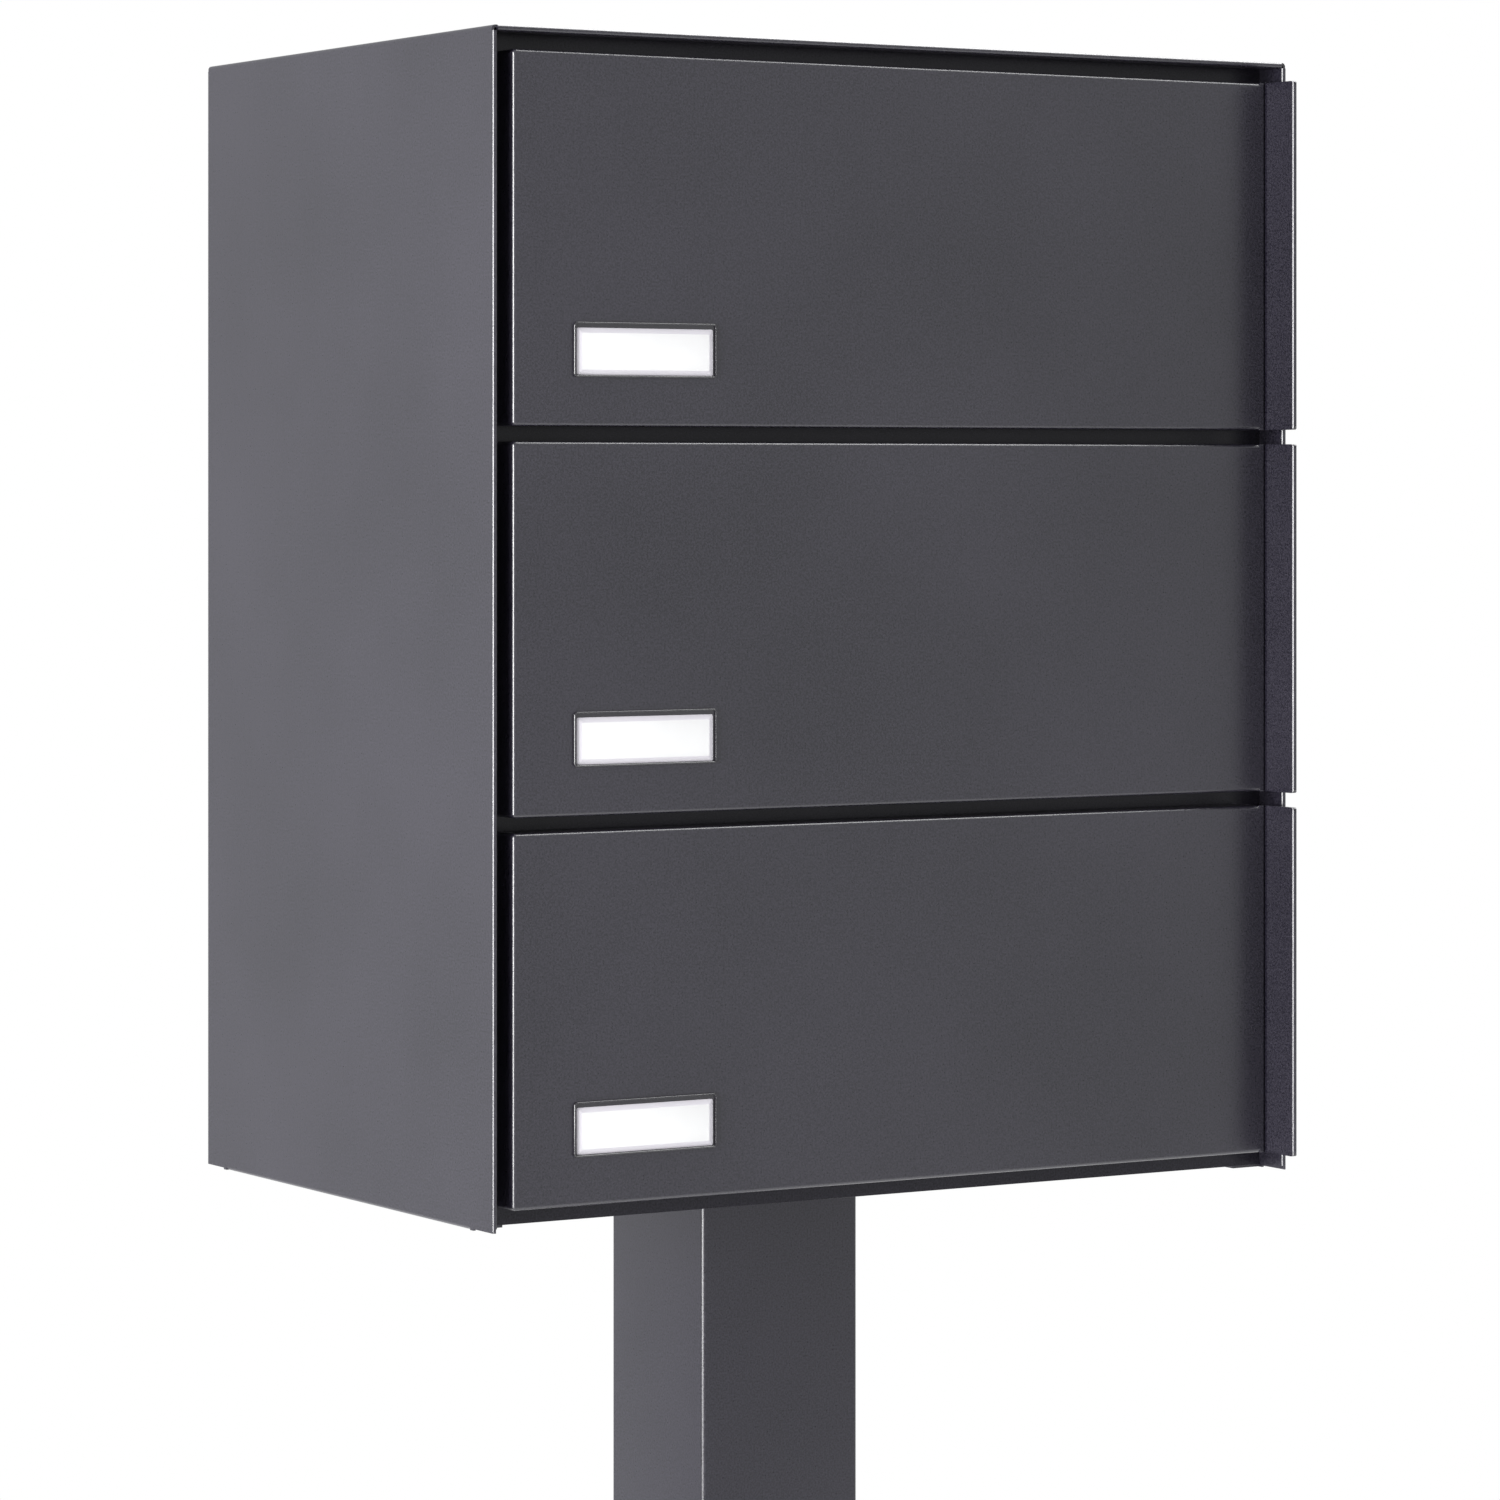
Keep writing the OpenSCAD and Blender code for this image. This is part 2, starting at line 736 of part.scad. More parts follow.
module rear_door(i) {
    color(COAT) difference() {
        in_casing() from_behind() difference() {
            translate([side_gap, 0, cover_z(i)]) {
                linear_extrude(cover_h) door_profile();
                turned_edges(door_w - 2 * sheet_t);
            }
            bush_holes(i);
        }
        at_lock(i) rod_along_y(barrel_r, setback + sheet_t + SKIM);
    }
}

module lock_barrel(i) {
    color(STEEL) at_lock(i) difference() {
        union() {
            translate([0, setback - barrel_flange_t, 0]) rod_along_y(barrel_flange_r, barrel_flange_t);
            translate([0, setback, 0]) rod_along_y(barrel_r, barrel_end - setback);
        }
        translate([0, setback - barrel_flange_t - SKIM, 0]) {
            rod_along_y(plug_r + plug_clear, barrel_end - setback + barrel_flange_t + 2 * SKIM);
        }
    }
}

module lock_nut(i) {
    color(STEEL) at_lock(i) translate([0, setback + sheet_t, 0]) difference() {
        rotate([-90, 0, 0]) cylinder(r = nut_across / 2, h = nut_t, $fn = 6);
        translate([0, -SKIM, 0]) rod_along_y(barrel_r, nut_t + 2 * SKIM);
    }
}

plug_front = setback - barrel_flange_t - plug_out;

module lock_plug(i) {
    color(STEEL) at_lock(i) difference() {
        union() {
            translate([0, plug_front, 0]) rod_along_y(plug_r, cam_y - plug_front);
            translate([0, cam_y, 0]) rod_along_y(spigot_r, cam_t);
        }
        translate([-key_w / 2, plug_front - SKIM, -key_h / 2]) cube([key_w, key_deep + SKIM, key_h]);
        translate([0, cam_y - cam_t, 0]) rod_along_y(screw_r, 2 * cam_t + SKIM);
    }
}

// Drawn unlocked: the cam hangs straight down, clear of the frame's lip.
module lock_cam(i) {
    color(STEEL) at_lock(i) translate([0, cam_y, 0]) rotate([-90, 0, 0]) difference() {
        linear_extrude(cam_t) {
            circle(r = cam_half_w + 1, $fn = FINE);
            translate([-cam_half_w, 0]) square([2 * cam_half_w, cam_l - cam_half_w]);
            translate([0, cam_l - cam_half_w]) circle(r = cam_half_w, $fn = FINE);
        }
        translate([0, 0, -SKIM]) cylinder(r = spigot_r, h = cam_t + 2 * SKIM, $fn = FINE);
    }
}

module cam_screw(i) {
    color(STEEL) at_lock(i) {
        translate([0, cam_y - cam_t, 0]) rod_along_y(screw_r, 2 * cam_t);
        translate([0, cam_y + cam_t, 0]) rod_along_y(screw_head_r, screw_head_h);
    }
}

casing_shell();
base_pan();
front_frame();
rear_frame();
shelf(0);  // shelf_lower
shelf(1);  // shelf_upper
post_tube();
post_head_plate();
post_base_plate();
head_screws();
pan_rivets();
hinge_rivets();
cover_hinge_lugs();
cover_hinge_pins();
door_hinge_lugs();
door_hinge_pins();
cover_magnets();
cover_buffers();
flap_rods();
flap_brackets();
for (i = [0:2]) {
    front_cover(i);
    nameplate_bezel(i);
    card_window(i);
    name_card(i);
    cover_bushes(i);
    slot_flap(i);
    rear_door(i);
    door_bushes(i);
    lock_barrel(i);
    lock_nut(i);
    lock_plug(i);
    lock_cam(i);
    cam_screw(i);
}
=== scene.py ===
import json
import math

import bmesh
import bpy
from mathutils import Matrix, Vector

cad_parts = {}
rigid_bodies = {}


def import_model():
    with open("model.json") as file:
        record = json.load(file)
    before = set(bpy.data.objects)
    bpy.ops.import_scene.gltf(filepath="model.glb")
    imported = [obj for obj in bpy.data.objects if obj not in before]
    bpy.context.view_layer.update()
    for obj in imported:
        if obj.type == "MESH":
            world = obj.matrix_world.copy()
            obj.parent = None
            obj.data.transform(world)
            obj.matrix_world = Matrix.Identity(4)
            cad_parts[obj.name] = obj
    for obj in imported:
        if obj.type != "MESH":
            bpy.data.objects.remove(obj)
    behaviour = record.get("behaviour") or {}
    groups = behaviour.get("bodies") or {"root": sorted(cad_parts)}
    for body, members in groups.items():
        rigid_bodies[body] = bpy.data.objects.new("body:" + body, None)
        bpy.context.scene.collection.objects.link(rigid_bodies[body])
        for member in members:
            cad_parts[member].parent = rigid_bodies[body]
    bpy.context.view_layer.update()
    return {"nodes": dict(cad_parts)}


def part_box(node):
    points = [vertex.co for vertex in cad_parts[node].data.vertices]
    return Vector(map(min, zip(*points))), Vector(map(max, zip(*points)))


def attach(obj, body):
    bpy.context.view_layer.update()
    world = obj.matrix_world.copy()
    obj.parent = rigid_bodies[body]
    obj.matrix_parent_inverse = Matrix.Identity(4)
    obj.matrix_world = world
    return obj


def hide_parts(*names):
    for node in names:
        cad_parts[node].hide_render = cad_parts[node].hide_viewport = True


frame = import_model()
levels = ["lower", "middle", "upper"]
print("frame loaded:", len(frame["nodes"]), "nodes")

# what every folded sheet shares
sheetMetal = {
    "thickness": 0.0011,
    "bendRadius": 0.0016,
    "hemSlit": 0.00006,
    "bendSteps": 7,
    "cutEdge": 0.00014,
}
casingLow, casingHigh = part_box("casing_shell")
casingMiddle = (casingLow + casingHigh) / 2
doorLow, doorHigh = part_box("rear_door_lower")
panDepth = doorHigh.y - doorLow.y
noseRadius = sheetMetal["thickness"] + sheetMetal["hemSlit"] / 2


# Starts a material, and gives it with its nodes, its links and its main shader.
def newMaterial(name):
    material = bpy.data.materials.new(name)
    material.use_nodes = True
    nodes = material.node_tree.nodes
    return material, nodes, material.node_tree.links, nodes["Principled BSDF"]


def noiseNode(nodes, links, scale, detail, rough=0.5, stretch=(1, 1, 1)):
    coords = nodes.new("ShaderNodeTexCoord")
    mapping = nodes.new("ShaderNodeMapping")
    mapping.inputs["Scale"].default_value = stretch
    noise = nodes.new("ShaderNodeTexNoise")
    noise.inputs["Scale"].default_value = scale
    noise.inputs["Detail"].default_value = detail
    noise.inputs["Roughness"].default_value = rough
    links.new(coords.outputs["Object"], mapping.inputs["Vector"])
    links.new(mapping.outputs["Vector"], noise.inputs["Vector"])
    return noise


def rampNode(nodes, links, source, stops):
    ramp = nodes.new("ShaderNodeValToRGB")
    ramp.color_ramp.elements[0].position = stops[0][0]
    ramp.color_ramp.elements[0].color = (*stops[0][1], 1)
    ramp.color_ramp.elements[1].position = stops[1][0]
    ramp.color_ramp.elements[1].color = (*stops[1][1], 1)
    links.new(source, ramp.inputs["Fac"])
    return ramp


def rangeNode(nodes, links, source, low, high):
    span = nodes.new("ShaderNodeMapRange")
    span.inputs["From Min"].default_value = 0.3
    span.inputs["From Max"].default_value = 0.7
    span.inputs["To Min"].default_value = low
    span.inputs["To Max"].default_value = high
    links.new(source, span.inputs["Value"])
    return span


def bumpNode(nodes, links, height, strength, distance, below=None):
    bump = nodes.new("ShaderNodeBump")
    bump.inputs["Strength"].default_value = strength
    bump.inputs["Distance"].default_value = distance
    links.new(height, bump.inputs["Height"])
    if below is not None:
        links.new(below.outputs["Normal"], bump.inputs["Normal"])
    return bump


coatLook = {
    "dark": (0.0012, 0.0008, 0.0042),
    "light": (0.0185, 0.0165, 0.0250),
    "grain": 1200,
    "peel": 260,
    "roughLow": 0.27,
    "roughHigh": 0.35,
    "grainDepth": 0.000022,
    "peelDepth": 0.00003,
    "specular": 0.85,
}


# Powder coat: a fine grain over a soft orange peel, with the faintest cloudiness in the tone.
def powderCoat(name, tone=1.0, shine=1.0):
    material, nodes, links, shader = newMaterial(name)
    look = coatLook
    grain = noiseNode(nodes, links, look["grain"], 3, 0.6)
    peel = noiseNode(nodes, links, look["peel"], 2)
    cloud = noiseNode(nodes, links, 9, 3)
    dark = tuple(c * tone for c in look["dark"])
    light = tuple(c * tone for c in look["light"])
    fine = rampNode(nodes, links, grain.outputs["Fac"], [(0.42, dark), (0.58, light)])
    soft = rampNode(nodes, links, cloud.outputs["Fac"], [(0.3, dark), (0.7, light)])
    mix = nodes.new("ShaderNodeMix")
    mix.data_type = "RGBA"
    mix.inputs["Factor"].default_value = 0.3
    links.new(fine.outputs["Color"], mix.inputs["A"])
    links.new(soft.outputs["Color"], mix.inputs["B"])
    links.new(mix.outputs["Result"], shader.inputs["Base Color"])
    rough = rangeNode(nodes, links, grain.outputs["Fac"], look["roughLow"], look["roughHigh"])
    links.new(rough.outputs["Result"], shader.inputs["Roughness"])
    low = bumpNode(nodes, links, peel.outputs["Fac"], 1.0, look["peelDepth"])
    top = bumpNode(nodes, links, grain.outputs["Fac"], 1.0, look["grainDepth"], low)
    links.new(top.outputs["Normal"], shader.inputs["Normal"])
    shader.inputs["Specular IOR Level"].default_value = look["specular"] * shine
    return material


def platedSteel(name, color, rough, streak):
    material, nodes, links, shader = newMaterial(name)
    grain = noiseNode(nodes, links, 700, 4, 0.6, streak)
    spangle = noiseNode(nodes, links, 90, 2)
    tone = rampNode(nodes, links, spangle.outputs["Fac"],
                    [(0.35, tuple(c * 0.86 for c in color)), (0.65, color)])
    links.new(tone.outputs["Color"], shader.inputs["Base Color"])
    shine = rangeNode(nodes, links, grain.outputs["Fac"], rough * 0.8, rough * 1.25)
    links.new(shine.outputs["Result"], shader.inputs["Roughness"])
    bump = bumpNode(nodes, links, grain.outputs["Fac"], 0.6, 0.00001)
    links.new(bump.outputs["Normal"], shader.inputs["Normal"])
    shader.inputs["Metallic"].default_value = 1.0
    return material


def mouldedPlastic(name, color, rough, grainScale=1100, depth=0.00001, specular=0.5):
    material, nodes, links, shader = newMaterial(name)
    grain = noiseNode(nodes, links, grainScale, 3)
    deep, pale = tuple(c * 0.85 for c in color), tuple(c * 1.12 for c in color)
    tone = rampNode(nodes, links, grain.outputs["Fac"], [(0.3, deep), (0.7, pale)])
    links.new(tone.outputs["Color"], shader.inputs["Base Color"])
    shine = rangeNode(nodes, links, grain.outputs["Fac"], rough - 0.05, rough + 0.05)
    links.new(shine.outputs["Result"], shader.inputs["Roughness"])
    bump = bumpNode(nodes, links, grain.outputs["Fac"], 0.7, depth)
    links.new(bump.outputs["Normal"], shader.inputs["Normal"])
    shader.inputs["Specular IOR Level"].default_value = specular
    return material


def cardPaper(name):
    material, nodes, links, shader = newMaterial(name)
    fibre = noiseNode(nodes, links, 900, 5, 0.7, (1, 1, 2.5))
    tone = rampNode(nodes, links, fibre.outputs["Fac"],
                    [(0.3, (0.76, 0.76, 0.76)), (0.7, (0.82, 0.82, 0.82))])
    links.new(tone.outputs["Color"], shader.inputs["Base Color"])
    shine = rangeNode(nodes, links, fibre.outputs["Fac"], 0.75, 0.9)
    links.new(shine.outputs["Result"], shader.inputs["Roughness"])
    bump = bumpNode(nodes, links, fibre.outputs["Fac"], 0.5, 0.00001)
    links.new(bump.outputs["Normal"], shader.inputs["Normal"])
    return material


# Clear acrylic, with the slightest unevenness in its polish; the bevelled border's greyer, less
# clear copy is a painted reflection of the chamfer
def clearAcrylic(name, color, seeThrough):
    material, nodes, links, shader = newMaterial(name)
    wave = noiseNode(nodes, links, 60, 2)
    shine = rangeNode(nodes, links, wave.outputs["Fac"], 0.04, 0.10)
    links.new(shine.outputs["Result"], shader.inputs["Roughness"])
    tone = rampNode(nodes, links, wave.outputs["Fac"],
                    [(0.3, tuple(c * 0.97 for c in color)), (0.7, color)])
    links.new(tone.outputs["Color"], shader.inputs["Base Color"])
    shader.inputs["Alpha"].default_value = 1 - seeThrough
    shader.inputs["IOR"].default_value = 1.49
    return material


coat = {
    "casing": powderCoat("casingPowderCoat"),
    "cover": powderCoat("coverPowderCoat"),
    "post": powderCoat("postPowderCoat", 1.0, 0.8),
    # the frame's coat is the same powder coat with its tone darkened to 0.7 and its shine cut to
    # 0.4: painted shade for the recess strips round the fronts; the flaps and the grip crease
    # take it too
    "frame": powderCoat("framePowderCoatDarkenedAsShade", 0.7, 0.4),
}
zincPlate = platedSteel("brightZincPlate", (0.62, 0.64, 0.67), 0.34, (1, 1, 1))
nickelPlate = platedSteel("satinNickelPlate", (0.70, 0.68, 0.64), 0.24, (1, 6, 1))
blackNylon = mouldedPlastic("blackNylon", (0.028, 0.028, 0.030), 0.5)
magnetCase = mouldedPlastic("magnetCasePlastic", (0.035, 0.035, 0.038), 0.45)
softRubber = mouldedPlastic("bufferRubber", (0.020, 0.020, 0.020), 0.82, 600, 0.00003)
bezelPlastic = mouldedPlastic("bezelPlastic", (0.012, 0.011, 0.014), 0.20, specular=0.9)
whiteCard = cardPaper("whiteNameCard")
windowAcrylic = clearAcrylic("clearWindowAcrylic", (0.80, 0.80, 0.80), 0.35)
# the border's grey, half-clear tone is a painted reflection for the window's chamfer
borderReflectionTint = clearAcrylic("borderPaintedReflectionAcrylic", (0.56, 0.54, 0.58), 0.2)
print("materials made:", len(bpy.data.materials))


# Points along an arc in degrees, both ends included.
def arcPoints(centre, radius, start, end, steps):
    points = []
    for k in range(steps + 1):
        angle = math.radians(start + (end - start) * k / steps)
        points.append((centre[0] + radius * math.cos(angle),
                       centre[1] + radius * math.sin(angle)))
    return points


def sharpByAngle(mesh, angle=32):
    bm = bmesh.new()
    bm.from_mesh(mesh)
    limit = math.radians(angle)
    for face in bm.faces:
        face.smooth = True
    for edge in bm.edges:
        edge.smooth = len(edge.link_faces) == 2 and edge.calc_face_angle(0) < limit
    bm.to_mesh(mesh)
    bm.free()


def placeMesh(name, bm, material):
    mesh = bpy.data.meshes.new(name)
    bm.to_mesh(mesh)
    bm.free()
    piece = bpy.data.objects.new(name, mesh)
    bpy.context.scene.collection.objects.link(piece)
    mesh.materials.append(material)
    return piece


# Bakes the modifiers into the mesh, so that none is left live.
def bakeModifiers(piece):
    graph = bpy.context.evaluated_depsgraph_get()
    made = bpy.data.meshes.new_from_object(piece.evaluated_get(graph))
    old = piece.data
    piece.modifiers.clear()
    piece.data = made
    bpy.data.meshes.remove(old)
    made.name = piece.name


# Bakes, then keeps the large flat faces flat up to their rounded edges.
def settle(piece, angle=32):
    bakeModifiers(piece)
    sharpByAngle(piece.data, angle)
    flat = piece.modifiers.new("flatFaces", "WEIGHTED_NORMAL")
    flat.keep_sharp = True
    flat.weight = 100
    bakeModifiers(piece)
    return piece


def roundEdges(piece, width, segments=2, angle=40):
    bevel = piece.modifiers.new("edges", "BEVEL")
    bevel.width = width
    bevel.segments = segments
    bevel.limit_method = "ANGLE"
    bevel.angle_limit = math.radians(angle)
    bevel.use_clamp_overlap = True
    bevel.miter_outer = "MITER_ARC"
    return piece


# Merges the near-double points that a cut leaves behind.
def mendSeams(piece, reach=0.000001):
    bm = bmesh.new()
    bm.from_mesh(piece.data)
    bmesh.ops.remove_doubles(bm, verts=bm.verts, dist=reach)
    bmesh.ops.dissolve_degenerate(bm, dist=reach / 2, edges=bm.edges)
    bm.to_mesh(piece.data)
    bm.free()


def closedFaces(bm):
    bmesh.ops.remove_doubles(bm, verts=bm.verts, dist=1e-7)
    bmesh.ops.dissolve_degenerate(bm, dist=1e-7, edges=bm.edges)
    bmesh.ops.recalc_face_normals(bm, faces=bm.faces)


# A prism from a closed outline; place turns (a, b, along) into a point.
def prism(bm, outline, start, end, place):
    rings = []
    for along in (start, end):
        rings.append([bm.verts.new(place(a, b, along)) for a, b in outline])
    count = len(outline)
    for k in range(count):
        n = (k + 1) % count
        bm.faces.new((rings[0][k], rings[0][n], rings[1][n], rings[1][k]))
    bm.faces.new(rings[0])
    bm.faces.new(rings[1])


def cutWith(piece, cutters):
    for cutter in cutters:
        cut = piece.modifiers.new("cut", "BOOLEAN")
        cut.operation = "DIFFERENCE"
        cut.solver = "EXACT"
        cut.object = cutter
    return piece


def boxCutter(low, high, material=None):
    bm = bmesh.new()
    bmesh.ops.create_cube(bm, size=1)
    for vert in bm.verts:
        vert.co = Vector(low[k] + (vert.co[k] + 0.5) * (high[k] - low[k]) for k in range(3))
    return placeMesh("cutter", bm, material or blackNylon)


def roundCutter(centre, radius, axis, length, sides=48):
    bm = bmesh.new()
    turn = Vector((0, 0, 1)).rotation_difference(Vector(axis)).to_matrix().to_4x4()
    bmesh.ops.create_cone(bm, cap_ends=True, segments=sides, radius1=radius, radius2=radius,
                          depth=length)
    bmesh.ops.transform(bm, matrix=turn, verts=bm.verts)
    bmesh.ops.translate(bm, vec=Vector(centre), verts=bm.verts)
    return placeMesh("cutter", bm, blackNylon)


def dropCutters():
    for thing in [o for o in bpy.data.objects if o.name.startswith("cutter")]:
        mesh = thing.data
        bpy.data.objects.remove(thing)
        bpy.data.meshes.remove(mesh)


# Turns a point half round the casing's upright middle line: the rear is laid out like the front.
def behind(point):
    return Vector((2 * casingMiddle.x - point[0], 2 * casingMiddle.y - point[1], point[2]))


# Gives an open folded surface the sheet's thickness. The largest face near the point named face
# looks outward, and the thickness goes to its other side.
def foldSheet(piece, face, outward, cutters=()):
    bm = bmesh.new()
    bm.from_mesh(piece.data)
    bmesh.ops.remove_doubles(bm, verts=bm.verts, dist=1e-7)
    bmesh.ops.dissolve_degenerate(bm, dist=1e-7, edges=bm.edges)
    bmesh.ops.recalc_face_normals(bm, faces=bm.faces)

    def facingArea(candidate):
        near = (candidate.calc_center_median() - face).length < 0.3
        return candidate.calc_area() if near and abs(candidate.normal.dot(outward)) > 0.9 else 0

    bm.faces.ensure_lookup_table()
    if max(bm.faces, key=facingArea).normal.dot(outward) < 0:
        bmesh.ops.reverse_faces(bm, faces=bm.faces)
    bm.to_mesh(piece.data)
    bm.free()
    shell = piece.modifiers.new("thickness", "SOLIDIFY")
    shell.thickness = sheetMetal["thickness"]
    shell.offset = -1
    shell.use_even_offset = True
    bakeModifiers(piece)
    cutWith(piece, cutters)
    roundEdges(piece, sheetMetal["cutEdge"], 2, 50)
    return settle(piece)


# casing: one folded sheet with a closed hem round its front and rear edges
casingShape = {
    "hemLength": 0.012,
    "hemFromBottom": 0.0024,
    "hemFromTop": 0.0024,
    "noseTurn": 285,
    "edgeLift": 0.0007,
    "raisedLength": 0.0169,
    "returnStart": 0.0196,
    "returnWidth": 0.015,
}


def wallStations():
    shape = casingShape
    radius = sheetMetal["bendRadius"]
    x0, x1 = casingLow.x, casingHigh.x
    z0, z1 = casingLow.z, casingHigh.z
    left = [(x0, z0 + radius), (x0, z0 + shape["hemFromBottom"]), (x0, z1 - shape["hemFromTop"])]
    left += arcPoints((x0 + radius, z1 - radius), radius, 180, 90, sheetMetal["bendSteps"])
    left += [(x0 + shape["hemFromTop"], z1)]
    right = [(x0 + x1 - x, z) for x, z in reversed(left)]
    return left + right


def inward(a, b):
    along = Vector((b[0] - a[0], 0, b[1] - a[1])).normalized()
    return Vector((along.z, 0, -along.x))


def makeCasing():
    shape = casingShape
    steps = sheetMetal["bendSteps"]
    radius = sheetMetal["bendRadius"]
    bm = bmesh.new()
    path = wallStations()
    fromFront = [noseRadius, shape["raisedLength"], shape["returnStart"]]
    ys = [casingLow.y + y for y in fromFront] + [casingHigh.y - y for y in reversed(fromFront)]

    def sheetFace(corners):
        bm.faces.new([bm.verts.new(corner) for corner in corners])

    for k in range(len(path) - 1):
        (xa, za), (xb, zb) = path[k], path[k + 1]
        last = len(path) - 2
        first = [(xa, y, za) for y in (ys if k == 0 else (ys[0], ys[-1]))]
        second = [(xb, y, zb) for y in (ys if k == last else (ys[0], ys[-1]))]
        sheetFace(first + second[::-1])
    # hems on the two walls and the top, at the front and the rear; only the nose runs to the foot
    turn = arcPoints((0, 0), noseRadius, 180, 360, 2 * steps)
    tip = sum(1 for k in range(2 * steps + 1) if 180 + 90 * k / steps <= shape["noseTurn"])
    rows = [(noseRadius + n, noseRadius + y) for n, y in turn]
    rows.append((2 * noseRadius, shape["hemLength"]))
    foot = casingLow.z + shape["edgeLift"]
    topStart = 3 + steps + 1
    spans = [(path[1], path[2], len(rows)), (path[topStart], path[topStart + 1], len(rows)),
             (path[-3], path[-2], len(rows))]
    for x, up in ((casingLow.x, (0, 1)), (casingHigh.x, (1, 0))):
        for low, high in ((foot, path[0][1]), (path[0][1], path[1][1])):
            ends = ((x, low), (x, high))
            spans.append((ends[up[0]], ends[up[1]], tip))
    for a, b, count in spans:
        side = inward(a, b)
        for edge, way in ((casingLow.y, 1), (casingHigh.y, -1)):
            for (n0, y0), (n1, y1) in zip(rows[:count], rows[1:count]):
                sheetFace([(end[0] + side.x * n, edge + way * y, end[1] + side.z * n)
                           for end, n, y in ((a, n0, y0), (b, n0, y0), (b, n1, y1), (a, n1, y1))])
    # the walls' lower edges, and the returns between them
    for sign, x in ((1, casingLow.x), (-1, casingHigh.x)):
        top = casingLow.z + radius
        for ya, yb, yc in ((ys[0], ys[1], ys[2]), (ys[5], ys[4], ys[3])):
            sheetFace([(x, ya, top), (x, yb, top), (x, yb, foot), (x, ya, foot)])
            sheetFace([(x, yb, top), (x, yc, top), (x, yc, casingLow.z), (x, yb, casingLow.z),
                       (x, yb, foot)])
        turnDown = [(x + sign * (radius + n), top + z)
                    for n, z in arcPoints((0, 0), radius, 180, 270, steps)]
        turnDown.append((x + sign * shape["returnWidth"], casingLow.z))
        for (xa, za), (xb, zb) in zip(turnDown, turnDown[1:]):
            sheetFace([(xa, ys[2], za), (xa, ys[3], za), (xb, ys[3], zb), (xb, ys[2], zb)])
    piece = placeMesh("casingHood", bm, coat["casing"])
    foldSheet(piece, Vector((casingMiddle.x, casingMiddle.y, casingHigh.z)), Vector((0, 0, 1)))
    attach(piece, "housing")
    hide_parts("casing_shell")
    return piece


makeCasing()
print("casing folded")


# front covers and rear doors: folded pans
coverShape = {
    "gripRelief": 0.003,
    "gripCorner": 0.002,
    "gripHem": 0.012,
    "cornerSteps": 6,
    "creaseWidth": 0.0010,
    "creaseDepth": 0.00075,
    "creaseLap": 0.00003,
    "plateLap": 0.0009,
    "cutterReach": 0.001,
}
pivotShape = {
    "bushNeck": 0.0032,
}
lockShape = {
    "barrelHole": 0.008,
    "cutterLength": 0.01,
}


# Rings of a pan's rounded rim, from its back edge to its face. With rightOpen the pan has no rim
# on its right side.
def panRings(x0, x1, z0, z1, faceY, backY, rightOpen):
    radius = sheetMetal["bendRadius"]
    steps = coverShape["cornerSteps"]
    levelsOfRim = [(0.0, backY)]
    for k in range(steps + 1):
        angle = math.radians(90 * k / steps)
        levelsOfRim.append((angle, faceY + radius * (1 - math.sin(angle))))
    rings = []
    for angle, y in levelsOfRim:
        inset = radius * (1 - math.cos(angle))
        corner = max(radius * math.cos(angle), 0.0)
        ring = []
        if rightOpen:
            ring.append((x1, z0 + inset))
        else:
            ring += arcPoints((x1 - radius, z0 + radius), corner, 360, 270, steps)
        ring += arcPoints((x0 + radius, z0 + radius), corner, 270, 180, steps)
        ring += arcPoints((x0 + radius, z1 - radius), corner, 180, 90, steps)
        if rightOpen:
            ring.append((x1, z1 - inset))
        else:
            ring += arcPoints((x1 - radius, z1 - radius), corner, 90, 0, steps)
        rings.append([(x, y, z) for x, z in ring])
    return rings


def panSurface(bm, rings, closed, place=Vector):
    made = [[bm.verts.new(place(p)) for p in ring] for ring in rings]
    for a, b in zip(made, made[1:]):
        count = len(a)
        for k in range(count if closed else count - 1):
            n = (k + 1) % count
            bm.faces.new((a[k], a[n], b[n], b[k]))
    return made


# Cutters for the holes that a pan's two bushes sit in.
def bushHoles(node):
    bushLow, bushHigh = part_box(node)
    centre = (bushLow + bushHigh) / 2
    length = 4 * sheetMetal["thickness"]
    return [roundCutter((centre.x, centre.y, z), pivotShape["bushNeck"], (0, 0, 1), length)
            for z in (bushLow.z, bushHigh.z)]


